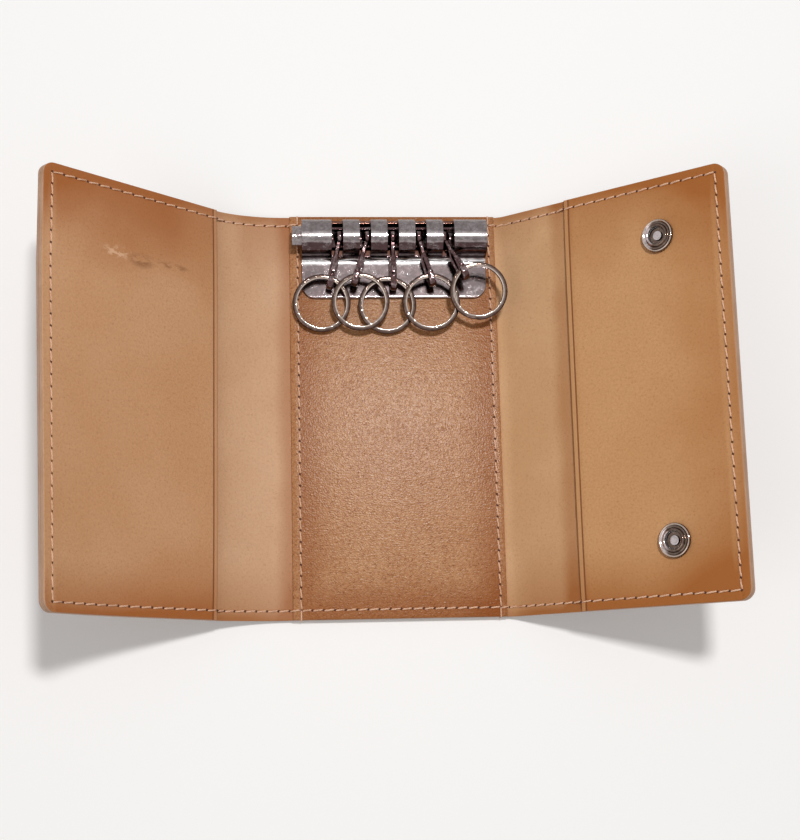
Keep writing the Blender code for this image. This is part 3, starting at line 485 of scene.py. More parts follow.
SMUDGE, RUBBED = srgb(122, 76, 44), srgb(228, 186, 152)
LEFT_SCUFFS = (((-80.0, 34.6, 0.0), (6.0, 2.2, 1.0), 1.3, 0.46, RUBBED, 0.65),
               ((-72.5, 33.8, 0.0), (5.0, 2.4, 1.0), 0.6, 0.38, SMUDGE, 0.6),
               ((-62.5, 34.4, 0.0), (6.5, 1.1, 1.0), 0.8, 0.40, SMUDGE, 0.6))
finishes = {
    "lining_left": leather(
        "left_lining_leather", (206, 165, 130), (198, 155, 119), (158, 98, 50), pebble=0.12, mottle=0.16,
        # The first sweep darkens the lining beside the patch: partly a stain, partly painted shade from the
        # patch's edge.
        sweeps=(("X", -32.0, -27.8, 0.6), ("Y", 24.0, 56.0, 0.5), ("Y", -36.0, -55.0, 0.6)),
        corners=((-38.0, -43.0, 28.0, 42.0, -0.25),)),
    "lining_right": leather(
        "right_lining_leather", (210, 168, 126), (203, 159, 116), (158, 98, 50), pebble=0.12, mottle=0.16,
        # The first sweep darkens the lining beside the right pocket's open side: partly a stain, partly painted
        # shade under the pocket's edge.
        sweeps=(("X", 43.0, 47.0, 0.5), ("Y", 38.0, 56.0, 0.45), ("Y", -38.0, -54.0, 0.45)),
        corners=((38.0, 42.0, 26.0, 36.0, -0.2), (29.0, 36.0, -32.0, -42.0, 0.25))),
    "left_pocket": leather(
        "left_pocket_leather", (205, 159, 119), (200, 152, 110), (162, 96, 46), far=2.5, depth=0.25,
        sweeps=(("Y", 23.0, 54.0, 0.92), ("Y", -39.0, -54.0, 0.75), ("X", -97.2, -98.2, -0.2)),
        corners=((-66.0, -54.0, 30.0, 42.0, -0.3), (-84.0, -62.0, -30.0, -42.0, 0.28),
                 (-82.0, -96.0, 34.0, 46.0, 0.2)), scuffed=LEFT_SCUFFS),
    "right_pocket": leather(
        "right_pocket_leather", (205, 157, 110), (200, 151, 103), (160, 96, 42), far=3.5, wander=2.0,
        depth=0.3, sweeps=(("X", 68.0, 98.0, 0.55), ("Y", 26.0, 56.0, 0.8), ("Y", -35.0, -53.0, 0.85),
                           ("X", 89.6, 90.6, -0.25)),
        corners=((66.0, 58.0, 28.0, 40.0, -0.2), (70.0, 86.0, -10.0, -36.0, 0.22))),
    "patch": leather(
        "patch_leather", (199, 150, 108), (191, 140, 98), (144, 77, 27), near=2.0, far=12.0, wander=4.0,
        depth=0.58, pebble=1.8, lines=1.4, roughness=0.42,
        sweeps=(("Y", -42.0, -52.0, 0.06), ("X", 24.6, 25.6, -0.36), ("X", -24.6, -25.6, -0.42)),
        corners=((10.0, 24.0, -34.0, -50.0, 0.3),),
        groove=0.5, speckle=0.8, gloss=0.08, mottle=0.6, polish=0.06, relief=0.22),
    "outer": leather("outer_leather", (176, 118, 74), (158, 102, 62), (120, 68, 34), near=1.0, far=10.0,
                     wander=4.0, depth=0.7, pebble=0.3, roughness=0.48),
}
print("leathers:", ", ".join(finishes))

# %% [markdown]
# ### Cut edge
#
# The layers are sanded and burnished together, so the edge shows one matt, greyish tan band with
# faint lines along it where the layers meet.

# %% Cut edge material
def cut_edge():
    made, tree, shader = new_material("cut_edge")
    place = attribute(tree, "flat_place", "Vector")
    along = place.stretch((0.5, 0.5, 9.0)).noise(1.0, 5.0, 0.7)
    color = along.ramp(0.35, 0.7).blend(srgb(194, 158, 132), srgb(178, 140, 112))
    color = place.noise(0.12).ramp(0.45, 0.75, 0.0, 0.6).blend(color, srgb(160, 116, 84))
    # Painted shadow: a pocket's cut edge is darkened at its open side, for the shadow under the lifted edge.
    color = attribute(tree, "mouth_distance").ramp(0.5, 1.0, 0.8, 0.0).blend(color, SHADE_LINE)
    feed(shader, {"Base Color": color, "Roughness": 0.62, "Normal": along.bump(0.7, 0.15)})
    return made


finishes["cut_edge"] = cut_edge()
print("edge finish made")

# %% [markdown]
# ## Leather sheets
#
# A sheet is a loft of closed rings, one at each place across the case. Each ring runs over the
# grain side, down a rounded edge and back under. That gives the sheet its thickness and soft
# edges without a modifier, and it leaves the seams between neighbouring pieces flush. A sheet
# that crosses two folds is made in two pieces, which meet in the middle of a rigid field, because
# a piece can bend over one joint only.

# %% Sheet maker
EDGE_ROUND = 0.22 * MM
ROUND_STEPS = 3
CORNER_ROWS = 8
EDGE_COLUMNS = [share * MM for share in (0.6, 1.2, 1.8, 2.4, 3.0, 4.0, 6.0, 9.0)]
FIELD_COLUMNS = 24
FIELD_MARGIN = 1.5 * MM
ROW_STEP = 1.1 * MM
SIDE_SHARE = 0.12


def half_length(from_end):
    """Half of the sheet's length along the case, at a distance from its rounded outer end."""
    if from_end is None or from_end >= CORNER_RADIUS:
        return CASE_HALF
    depth = CORNER_RADIUS - max(from_end, 0.0)
    return CASE_HALF - CORNER_RADIUS + sqrt(max(CORNER_RADIUS ** 2 - depth ** 2, 0.0))


def edge_distance(across, along, start, end, finished_start, finished_end, corners):
    """Distance in from the nearest finished edge of the sheet."""
    sides = [CASE_HALF - abs(along)]
    from_end = abs(end - across)
    if finished_end:
        sides.append(from_end)
    if finished_start:
        sides.append(abs(across - start))
    if corners and from_end < CORNER_RADIUS and sides[0] < CORNER_RADIUS:
        return CORNER_RADIUS - hypot(CORNER_RADIUS - from_end, CORNER_RADIUS - sides[0])
    return min(sides)


def half_row(half, level, way, round_by):
    """Points (along, level) over one face out to its rounded edge; way is +1 for the upper face."""
    inner = half - round_by
    field = half - EDGE_COLUMNS[-1] - FIELD_MARGIN
    row = [field * j / FIELD_COLUMNS for j in range(FIELD_COLUMNS + 1)]
    row += [half - offset for offset in reversed(EDGE_COLUMNS)]
    points = [(value, level) for value in row]
    for k in range(ROUND_STEPS + 1):
        angle = pi / 2 * k / ROUND_STEPS
        points.append((inner + round_by * sin(angle), level - way * round_by * (1 - cos(angle))))
    return points


def section_ring(half, low, high, soft, drop):
    """A closed ring of (along, level) round the sheet at one place across it.

    Soft gives the share of the rounding that the lower and the upper face have: a face that lies on
    the next leather stays nearly sharp, so that the layers read as one edge.
    """
    low, high = low + drop * soft[0], high - drop * soft[1]
    upper = half_row(half, high, 1, EDGE_ROUND * soft[1])
    lower = half_row(half, low, -1, EDGE_ROUND * soft[0])
    right = upper + list(reversed(lower))
    left = [(-along, level) for along, level in reversed(right)]
    return [(0.0, high)] + right[1:-1] + [(0.0, low)] + left[1:-1]


def sheet_rows(start, end, finished_start, finished_end, corners):
    """Places across the sheet with how much its faces draw in there, for its rounded ends."""
    way = 1 if end > start else -1
    length = abs(end - start)
    first = EDGE_ROUND if finished_start else 0.0
    last = length - (CORNER_RADIUS if corners else (EDGE_ROUND if finished_end else 0.0))
    rows = []
    if finished_start:
        for k in range(ROUND_STEPS):
            angle = pi / 2 * (1 - k / ROUND_STEPS)
            rows.append((EDGE_ROUND * (1 - sin(angle)), EDGE_ROUND * (1 - cos(angle))))
    count = max(int((last - first) / ROW_STEP), 2)
    rows += [(first + (last - first) * i / count, 0.0) for i in range(count + 1)]
    if corners:
        flat = CORNER_RADIUS - EDGE_ROUND
        rows += [(last + flat * sin(pi / 2 * k / CORNER_ROWS), 0.0) for k in range(1, CORNER_ROWS + 1)]
    if finished_end:
        for k in range(1, ROUND_STEPS + 1):
            angle = pi / 2 * k / ROUND_STEPS
            rows.append((length - EDGE_ROUND + EDGE_ROUND * sin(angle), EDGE_ROUND * (1 - cos(angle))))
    return [(start + way * distance, drop) for distance, drop in rows]


def seam_distance(across, along, start, end, seams):
    """Distance in mm from the nearest row of sewing; seams are the insets at start and end, or None."""
    away = [abs(CASE_HALF - abs(along) - SEAM_INSET * MM)]
    for place, inset in zip((start, end), seams):
        if inset is not None:
            away.append(abs(abs(across - place) - inset * MM))
    return min(away) / MM


FAR_FROM_MOUTH = 99.0


def join_rings(shape, rings):
    """Skin over closed rings of corners, with a cap at each end."""
    for first, second in zip(rings, rings[1:]):
        for k in range(len(first)):
            j = (k + 1) % len(first)
            shape.faces.new((first[k], first[j], second[j], second[k]))
    shape.faces.new(rings[0])
    shape.faces.new(rings[-1])


def add_piece(name, shape, materials, sharp=None, turn_out=True):
    """A piece made from a bmesh, shaded smooth but for edges sharper than some degrees."""
    if turn_out:
        bmesh.ops.recalc_face_normals(shape, faces=shape.faces)
    mesh = bpy.data.meshes.new(name)
    shape.to_mesh(mesh)
    shape.free()
    for material in materials:
        mesh.materials.append(material)
    mesh.shade_smooth()
    if sharp:
        mesh.set_sharp_from_angle(angle=radians(sharp))
    return put_in_scene(name, mesh)


def leather_sheet(name, start, end, low, high, face, finished_start=False, finished_end=False,
                  corners=False, lift=None, soft=(1.0, 1.0), seams=(None, None)):
    """A sheet from one place across the case to another, between two levels over the outer leather."""
    shape = bmesh.new()
    flat_layer = shape.verts.layers.float_vector.new("flat_place")
    edge_layer, seam_layer, mouth_layer = (
        shape.verts.layers.float.new(label) for label in ("edge_distance", "seam_distance", "mouth_distance"))
    rings = []
    for across, drop in sheet_rows(start, end, finished_start, finished_end, corners):
        half = half_length(abs(end - across) if corners else None)
        ring = []
        for along, level in section_ring(half, low, high, soft, drop):
            raised = lift(across, along) if lift else 0.0
            corner = shape.verts.new(bent(across, along, level + raised))
            corner[flat_layer] = Vector((across, along, level)) / MM
            distance = edge_distance(across, along, start, end, finished_start, finished_end, corners)
            corner[edge_layer] = distance / MM
            corner[seam_layer] = seam_distance(across, along, start, end, seams)
            corner[mouth_layer] = abs(across - start) / MM if lift else FAR_FROM_MOUTH
            ring.append(corner)
        rings.append(ring)
    join_rings(shape, rings)
    for part in shape.faces:
        levels = [corner[flat_layer].z for corner in part.verts]
        part.material_index = int(max(levels) - min(levels) > SIDE_SHARE * (high - low) / MM)
    return add_piece(name, shape, (face, finishes["cut_edge"]), 50.0)


# %% [markdown]
# ### Four pieces of each leather
#
# The outer leather and the lining are each made in four pieces. Every piece is shaped over one
# fold of the open case and meets the next where nothing folds.

# %% Outer leather and lining
def fold_zone(at, way):
    return at - way * FOLD_HALF, at + way * FOLD_HALF


LEFT_END_WAY = Vector((-cos((LEFT_CURL + LEFT_RISE) / 2), 0, sin((LEFT_CURL + LEFT_RISE) / 2)))
RIGHT_FOLD_WAY = Vector((cos(RIGHT_RISE / 2), 0, sin(RIGHT_RISE / 2)))
LEFT_SPLIT = -(CENTRE_HALF + LEFT_SPINE / 2)
RIGHT_SPLIT = CENTRE_HALF + RIGHT_SPINE / 2
PIECES = {
    "left_flap": ("left_spine", fold_zone(LEFT_END, LEFT_END_WAY), LEFT_SPLIT, -LEFT_REACH),
    "left_spine": ("case_centre", fold_zone(LEFT_FOLD, Vector((-1, 0, 0))), 0.0, LEFT_SPLIT),
    "right_spine": ("case_centre", fold_zone(RIGHT_FOLD, RIGHT_FOLD_WAY), 0.0, RIGHT_SPLIT),
    "right_flap": ("right_spine", fold_zone(RIGHT_END, RIGHT_FLAP_WAY), RIGHT_SPLIT, RIGHT_REACH),
}
LAYER_SLIT = 0.01 * MM
INNER_EDGE = 0.15
LAYERS = {
    "outer": (OUTER_LOW, LINING_LOW - LAYER_SLIT, "outer_leather", (1.0, INNER_EDGE)),
    "lining": (LINING_LOW, LINING_TOP, "lining_leather", (INNER_EDGE, 2 * INNER_EDGE)),
}


def bend_over_fold(piece):
    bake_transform(piece)


for layer, (low, high, slot_name, soft) in LAYERS.items():
    for where, (_, _, start, end) in PIECES.items():
        flap = where.endswith("flap")
        face = finishes["outer" if layer == "outer" else "lining_" + where.split("_")[0]]
        made = leather_sheet(f"{layer}_sheet_{where}", start, end, low, high, face,
                             finished_end=flap, corners=flap, soft=soft,
                             seams=(None, SEAM_INSET if flap else None))
        bend_over_fold(made)
        nodes = [f"{layer}_{where}"]
        if where == "left_spine":
            nodes.append(f"{layer}_centre")
        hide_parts(*nodes)
print("outer leather and lining made in", len(LAYERS) * len(PIECES), "pieces")

# %% [markdown]
# ### Pockets and patch
#
# The pockets are sewn down on three sides, so only the middle of the open side can rise: it
# stands a little off the lining and throws a thin shadow line. The patch lies flat under the bar.

# %% Pockets and centre patch
MOUTH_LIFT = 0.35 * MM
MOUTH_LIFT_REACH = 16.0 * MM
MOUTH_SEWN = 3.0 * MM


def mouth_lift(mouth):
    def lift(across, along):
        inward = min(abs(across - mouth) / MOUTH_LIFT_REACH, 1.0)
        sewn = max(1.0 - abs(along) / (CASE_HALF - MOUTH_SEWN), 0.0)
        return MOUTH_LIFT * (1.0 - inward) ** 2 * min(sewn * 2.5, 1.0) ** 0.5
    return lift


mouths = {"left": -(CENTRE_HALF + LEFT_SPINE + LEFT_MOUTH), "right": CENTRE_HALF + RIGHT_SPINE + RIGHT_MOUTH}
for side, mouth in mouths.items():
    end = -LEFT_REACH if side == "left" else RIGHT_REACH
    pocket = leather_sheet(f"{side}_slip_pocket", mouth, end, LINING_TOP + LAYER_SLIT, POCKET_TOP,
                           finishes[f"{side}_pocket"], True, True, True, mouth_lift(mouth),
                           (INNER_EDGE, 1.0), (None, SEAM_INSET))
    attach(pocket, f"{side}_flap")
    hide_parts(f"{side}_pocket")

PATCH_SEAM = 2.05
patch = leather_sheet("key_bar_patch", -PATCH_HALF, PATCH_HALF, LINING_TOP + LAYER_SLIT, PATCH_TOP,
                      finishes["patch"], True, True, soft=(INNER_EDGE, 1.0), seams=(PATCH_SEAM, PATCH_SEAM))
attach(patch, "case_centre")
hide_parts("centre_patch")
print("pockets and patch made")

# %% [markdown]
# ## Sewing
#
# The layers are sewn by hand with waxed thread: one row round the whole edge and one down each
# side of the patch. The thread shows as short slanted stitches that dip into awl holes. Painted
# dashes would vanish in a close view, so every stitch is a small twisted tube, and every hole a
# dimple painted dark, as painted shade inside the hole.

# %% Thread and hole finishes
def thread_finish():
    made, tree, shader = new_material("waxed_thread")
    strand = attribute(tree, "strand", "Vector").split()
    ply = maths("SINE", strand["X"] * 9.0 + maths("ARCTAN2", strand["Z"], strand["Y"]) * 3.0)
    dirt = attribute(tree, "flat_place", "Vector").noise(0.35, 4.0, 0.6)
    # The twist also paints the colour: lighter stripes as painted highlight on the plies, darker ones as painted
    # shade between them.
    color = ply.ramp(-1.0, 0.4).blend(srgb(206, 152, 116), srgb(238, 198, 168))
    color = dirt.ramp(0.5, 0.72, 0.0, 0.7).blend(color, srgb(170, 112, 76))
    feed(shader, {"Base Color": color, "Roughness": 0.6, "Normal": ply.bump(0.6, 0.06)})
    return made


def hole_shade_finish():
    made, tree, shader = new_material("awl_hole_shade")
    grit = attribute(tree, "flat_place", "Vector").noise(2.5, 3.0)
    # Painted shade: the hole's dark brown stands for the shade inside it.
    feed(shader, {"Base Color": grit.blend(srgb(58, 26, 14), srgb(98, 52, 28)), "Roughness": 0.85})
    return made


finishes["thread"], finishes["hole"] = thread_finish(), hole_shade_finish()

# %% [markdown]
# ### Tubes and dimples
#
# A stitch is swept along its own short path. Its section has two lobes that turn with the path,
# which is what two twisted plies look like.

# %% Stitch maker
THREAD_RADIUS = 0.205 * MM
THREAD_RISE = 0.14 * MM
THREAD_DIP = 0.30 * MM
THREAD_SIDES = 8
STITCH_STEPS = 10
STITCH_SLANT = 0.17 * MM
PLY_DEPTH = 0.16
PLY_TURN = 3.4 / MM
HOLE_HALF = (0.38 * MM, 0.30 * MM)
THREAD_SHARE = 0.86
HOLE_SIDES = 10
HOLE_MIDDLE, HOLE_RIM, HOLE_DEPTH = 0.005 * MM, 0.012 * MM, 0.1 * MM


def surface_level(across, outside):
    """Level of the leather that shows at a place, on the inner or the outer face."""
    if outside:
        return OUTER_LOW
    if across <= mouths["left"] or across >= mouths["right"]:
        return POCKET_TOP
    return PATCH_TOP if abs(across) <= PATCH_HALF else LINING_TOP


class SewnPiece:
    """Meshes of the stitches and holes that belong to one piece of the leather."""

    def __init__(self, where):
        self.where = where
        self.thread, self.holes = bmesh.new(), bmesh.new()
        self.strand = self.thread.verts.layers.float_vector.new("strand")
        self.places = {
            "thread": self.thread.verts.layers.float_vector.new("flat_place"),
            "holes": self.holes.verts.layers.float_vector.new("flat_place"),
        }

    def tube(self, path):
        """A twisted thread along a path of (place, up) pairs."""
        run, rings = 0.0, []
        for i, (place, up) in enumerate(path):
            before = path[max(i - 1, 0)][0]
            forward = (path[min(i + 1, len(path) - 1)][0] - before).normalized()
            side = forward.cross(up).normalized()
            upward = side.cross(forward)
            run += (place - before).length
            ring = []
            for k in range(THREAD_SIDES):
                angle = 2 * pi * k / THREAD_SIDES
                radius = THREAD_RADIUS * (1 + PLY_DEPTH * cos(2 * (angle - run * PLY_TURN)))
                corner = self.thread.verts.new(
                    place + side * radius * cos(angle) + upward * radius * sin(angle))
                corner[self.strand] = Vector((run / MM, cos(angle), sin(angle)))
                corner[self.places["thread"]] = place / MM
                ring.append(corner)
            rings.append(ring)
        join_rings(self.thread, rings)

    def dimple(self, across, along, way, outside):
        """An awl hole: a low disc, longer along the row, dark with painted shade."""
        level = surface_level(across, outside)
        out = -1 if outside else 1
        middle = bent(across, along, level + out * HOLE_MIDDLE)
        up = (bent(across, along, level + out * MM) - middle).normalized()
        ahead = bent(across + way[0] * 0.1 * MM, along + way[1] * 0.1 * MM, level)
        forward = (ahead - bent(across, along, level)).normalized()
        side = forward.cross(up).normalized()
        ring, low = [], []
        for k in range(HOLE_SIDES):
            angle = 2 * pi * k / HOLE_SIDES
            spread = forward * HOLE_HALF[0] * cos(angle) + side * HOLE_HALF[1] * sin(angle)
            ring.append(self.holes.verts.new(middle + spread + up * HOLE_RIM))
            low.append(self.holes.verts.new(middle + spread - up * HOLE_DEPTH))
        top, bottom = self.holes.verts.new(middle), self.holes.verts.new(middle - up * HOLE_DEPTH)
        for corner in ring + low + [top, bottom]:
            corner[self.places["holes"]] = corner.co / MM
        for k in range(HOLE_SIDES):
            j = (k + 1) % HOLE_SIDES
            self.holes.faces.new((ring[k], ring[j], top))
            self.holes.faces.new((low[j], low[k], bottom))
            self.holes.faces.new((ring[j], ring[k], low[k], low[j]))

    def finish(self):
        for kind, shape, finish in (("stitches", self.thread, "thread"), ("holes", self.holes, "hole")):
            bend_over_fold(add_piece(f"{kind}_{self.where}", shape, [finishes[finish]]))


sewn = {where: SewnPiece(where) for where in PIECES}
print("sewing for", ", ".join(sewn))

# %% [markdown]
# ### Rows of stitches
#
# The rows are laid out flat, between the corners of the case, the pockets' mouths and the patch's
# sides, and each run is shared out into whole stitches. The flaps were sewn with longer stitches
# than the rest. A little unevenness, the same on each run of the script, keeps the rows from
# looking like a zip.

# %% Rows
SEAM_LINE = SEAM_INSET * MM
PATCH_SEAM_INSET = PATCH_SEAM * MM
STITCH_PITCH = 2.85 * MM
LEFT_FLAP_PITCH = 3.45 * MM
RIGHT_FLAP_PITCH = 3.1 * MM
UNEVEN = 0.05 * MM

chance = random.Random(5)


def piece_at(across):
    if across < LEFT_SPLIT:
        return "left_flap"
    if across < 0:
        return "left_spine"
    return "right_spine" if across < RIGHT_SPLIT else "right_flap"


def lay_stitch(start, end, outside):
    """One stitch between two holes in the flat leather."""
    across, along = end[0] - start[0], end[1] - start[1]
    length = hypot(across, along)
    square = (-along / length, across / length)
    out = -1 if outside else 1
    levels = [surface_level(place[0], outside) for place in (start, end)]
    path = []
    slant = STITCH_SLANT * (1 if outside else -1)
    lift = THREAD_RISE * chance.uniform(0.85, 1.2)
    for i in range(STITCH_STEPS + 1):
        share = 0.5 + THREAD_SHARE * (i / STITCH_STEPS - 0.5)
        aside = slant * (1 - 2 * share)
        where = (start[0] + across * share + square[0] * aside, start[1] + along * share + square[1] * aside)
        shown = surface_level(where[0], outside)
        level = levels[0] + (levels[1] - levels[0]) * share
        level = min(level, shown) if outside else max(level, shown)
        dip = (abs(2 * share - 1) / THREAD_SHARE) ** 5
        level += out * (lift - (THREAD_DIP + lift) * dip)
        place = bent(where[0], where[1], level)
        path.append((place, (bent(where[0], where[1], level + out * MM) - place).normalized()))
    sewn[piece_at((start[0] + end[0]) / 2)].tube(path)


def lay_row(start, end, pitch, first_hole=True):
    length = hypot(end[0] - start[0], end[1] - start[1])
    count = round(length / pitch)
    way = ((end[0] - start[0]) / length, (end[1] - start[1]) / length)
    holes = []
    for i in range(count + 1):
        loose = chance.uniform(-UNEVEN, UNEVEN) if 0 < i < count else 0.0
        distance = length * i / count + loose
        holes.append((start[0] + way[0] * distance, start[1] + way[1] * distance))
    for first, second in zip(holes, holes[1:]):
        for outside in (False, True):
            lay_stitch(first, second, outside)
    for hole in holes if first_hole else holes[1:]:
        for outside in (False, True):
            sewn[piece_at(hole[0])].dimple(hole[0], hole[1], way, outside)
    return count


left_line, right_line = -(LEFT_REACH - SEAM_LINE), RIGHT_REACH - SEAM_LINE
edge_line, patch_line = CASE_HALF - SEAM_LINE, PATCH_HALF - PATCH_SEAM_INSET
stops = (left_line, mouths["left"], -patch_line, patch_line, mouths["right"], right_line)
pitches = (LEFT_FLAP_PITCH, STITCH_PITCH, STITCH_PITCH, STITCH_PITCH, RIGHT_FLAP_PITCH)
stitch_count = 0
for half in (-1, 1):
    for first, second, pitch in zip(stops, stops[1:], pitches):
        start, end = (first, half * edge_line), (second, half * edge_line)
        stitch_count += lay_row(start, end, pitch, first == left_line)
for line in (left_line, -patch_line, patch_line, right_line):
    stitch_count += lay_row((line, edge_line), (line, -edge_line), STITCH_PITCH, False)
print(stitch_count, "stitches on each face")

# %% [markdown]
# ### Thread over the edge
#
# Each patch row starts and ends with a turn of thread round the edge of the case, which locks it.

# %% Locking turns
LOCK_STEPS = 6
LOCK_RISE, LOCK_FLAT, LOCK_BULGE, LOCK_DEPTH = 0.35 * MM, 0.5 * MM, 0.45 * MM, 1.5 * MM


def lock_turn(across, half):
    """Thread from the last hole of a patch row round the edge to the same hole at the back."""
    clear = THREAD_RADIUS * 0.8
    inner, outer = PATCH_TOP + clear, OUTER_LOW - clear
    edge = CASE_HALF + clear
    flat = [(edge_line, inner - THREAD_DIP), (edge_line + LOCK_RISE, inner), (CASE_HALF - LOCK_FLAT, inner)]
    for k in range(LOCK_STEPS + 1):
        angle = pi / 2 - pi * k / LOCK_STEPS
        middle, reach = (inner + outer) / 2, (inner - outer) / 2
        flat.append((edge - LOCK_BULGE * (1 - cos(angle)), middle + reach * sin(angle)))
    flat += [(CASE_HALF - LOCK_FLAT, outer), (edge_line + LOCK_RISE, outer), (edge_line, outer + THREAD_DIP)]
    places = [bent(across, half * along, level) for along, level in flat]
    middle = bent(across, half * (CASE_HALF - LOCK_DEPTH), (inner + outer) / 2)
    sewn[piece_at(across)].tube([(place, (place - middle).normalized()) for place in places])


for across in (-patch_line, patch_line):
    for half in (-1, 1):
        lock_turn(across, half)
for piece in sewn.values():
    piece.finish()
print("rows locked at 4 places")

# %% [markdown]
# ## Metal finishes
#
# The bar, hooks, rings and snaps are plated, and years of keys have rubbed the plating. What stands
# proud is bright, what lies low is tarnished nearly black, and fine scratches run over both. Two
# values drive the finish: how rubbed a point is, which the turned and wound pieces carry at their
# points, and where it lies. Bands by place paint light and shade into the colour: reflections and
# highlights along the bar's section, shade on the slide inside the barrel, and a highlight on one
# side of the snap socket.

# %% Worn plating group
def make_worn_plating():
    group, given, leave = new_group(
        "worn_plating", {"Place": NOWHERE, "Mottle Size": 0.9}, ("Tarnish", "Scratches", "Height"))
    place = given["Place"]
    mottle = place.noise(given["Mottle Size"], 6.0, 0.7)
    grit = place.noise(4.5, 3.0, 0.6).ease(0.54, 0.66, 0.0, 0.7)
    lines = None
    for scales in ((0.22, 5.5, 5.5), (3.8, 0.30, 3.8), (2.2, 2.4, 0.4)):
        fine = place.stretch(scales).noise(1.0, 2.0, 0.5)
        thin = maths("ABSOLUTE", fine - 0.5).ramp(0.0, 0.018, 1.0, 0.0)
        lines = thin if lines is None else maths("MAXIMUM", lines, thin)
    scratches = lines * place.noise(0.6, 3.0).ease(0.47, 0.60)
    feed(leave, {"Tarnish": maths("MAXIMUM", mottle.ease(0.42, 0.64), grit), "Scratches": scratches,
                 "Height": mottle * 0.6 - scratches * 0.5})
    return group


WORN_PLATING = make_worn_plating()
print("group:", WORN_PLATING.name)

# %% Plating material
# Painted shade: the dark brown inside the bar's slots.
SLOT_WALL_SHADE = (0.15, 0.07, 0.05, 1.0)


def plating(name, bright, body, dark, tarnish=0.5, scratch=0.3, roughness=0.09, mottle=0.9, light_and_shade_bands=(),
            openings=None, relief=0.3):
    """Plated steel. A band is a window along an axis, in mm: where it fades in and out, colour and amount. Bands
    paint light and shade into the colour.

    Openings are a row of slots, given as the first one's place, pitch, half width and nearer end:
    their insides are painted dark brown, as painted shade in the slots.
    """
    made, tree, shader = new_material(name)
    place = Signal(tree, add_node(tree, "TexCoord").outputs["Object"]).stretch((1 / MM, 1 / MM, 1 / MM))
    worn = use_group(tree, WORN_PLATING, {"Place": place, "Mottle Size": mottle})
    axes = place.split()
    wander = (place.noise(0.35, 2.0) - 0.5) * 0.8
    color = body
    for axis, fade_in, fade_out, tone, amount in light_and_shade_bands:
        value = axes[axis] + wander
        color = (value.ease(*fade_in) * value.ease(*fade_out, 1.0, 0.0) * amount).blend(color, tone)
    if openings:
        first, pitch, half_width, reach = openings
        step = (axes["X"] - (first - pitch / 2)) / pitch
        aside = maths("ABSOLUTE", maths("FRACT", step) - 0.5)
        inner = aside.ease((half_width - 0.04) / pitch, (half_width + 0.04) / pitch, 1.0, 0.0)
        inner *= axes["Y"].ease(reach - 0.3, reach + 0.3)
        for low, high in ((0.0, 0.01), (5.0, 4.99)):
            inner *= step.ramp(low, high)
        color = inner.blend(color, SLOT_WALL_SHADE)
    rubbed = attribute(tree, "rubbed")
    color = rubbed.blend(color, bright)
    dulled = worn["Tarnish"] * tarnish * maths("SUBTRACT", 1.0, rubbed * 0.7)
    color = dulled.blend(color, dark)
    color = (worn["Scratches"] * scratch).blend(color, bright)
    feed(shader, {"Base Color": color, "Metallic": 1.0, "Roughness": worn["Tarnish"] * 0.04 + roughness,
                  "Normal": worn["Height"].bump(relief, 0.02)})
    return made


def grey(level, leather_tint=0.0):
    """A metal's colour by its level of grey; the second value adds red, as painted reflection of the brown leather
    that the metal mirrors.
    """
    return (level * (1 + leather_tint), level * (1 - 0.8 * leather_tint), level * (1 - 0.8 * leather_tint), 1.0)


bar_low, bar_high = [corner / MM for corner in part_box("key_bar")]
hook_place = joint_place("hook_3_lift") / MM
front = 2 * hook_place.y - bar_high.y
BRIGHT, DARK = grey(0.80, 0.03), grey(0.03, 0.4)
SLOT_PITCH, SLOT_HALF = 7.2, 1.45
bar_openings = (hook_place.x - 2 * SLOT_PITCH, SLOT_PITCH, SLOT_HALF, front + 0.2)
# Painted reflections and highlights, in the order of the bands: a mid grey on the back of the barrel, a bright
# painted highlight near its crown, a dark painted reflection on its front flank with a thin bright line in it, a
# bright painted highlight on the fillet down to the plate, a lighter band fading from it over the plate, and a
# bright painted highlight on the plate's lower lip.
finishes["bar"] = plating(
    "bar_plating_painted_reflections", BRIGHT, grey(0.15, 0.12), DARK, tarnish=0.4, roughness=0.08, relief=0.12,
    openings=bar_openings,
    light_and_shade_bands=(("Y", (front + 1.3, front + 2.1), (bar_high.y + 1, bar_high.y + 2), grey(0.19, 0.08), 1.0),
           ("Y", (front + 3.3, front + 3.9), (front + 4.4, front + 5.4), grey(0.45, 0.05), 0.9),
           ("Y", (front - 0.6, front - 0.1), (front + 2.0, front + 2.5), grey(0.06, 0.3), 1.0),
           ("Y", (front + 2.15, front + 2.35), (front + 2.5, front + 2.8), grey(0.3, 0.1), 0.7),
           ("Y", (front - 2.5, front - 1.4), (front - 0.9, front - 0.4), grey(0.8, 0.02), 0.95),
           ("Y", (front - 4.4, front - 2.8), (front - 2.6, front - 1.6), grey(0.18, 0.12), 0.8),
           ("Y", (bar_low.y - 2, bar_low.y - 1), (bar_low.y + 0.4, bar_low.y + 0.8), grey(0.4, 0.1), 0.9)))
slide_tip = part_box("release_slide")[0].x / MM
# Painted shade: the slide is nearly black where it lies inside the barrel and shows through the slots; only its
# end tab, out of the barrel, has the plating's grey.
finishes["slide"] = plating(
    "slide_plating_painted_shade", BRIGHT, grey(0.05, 0.3), DARK,
    light_and_shade_bands=(("X", (slide_tip - 2, slide_tip - 1), (slide_tip + 2.6, slide_tip + 3.0), grey(0.24, 0.1), 1.0),))
finishes["hook"] = plating("hook_plating", grey(0.7, 0.08), grey(0.09, 0.3), grey(0.02, 0.5), tarnish=0.6,
                           scratch=0.6, mottle=1.6)
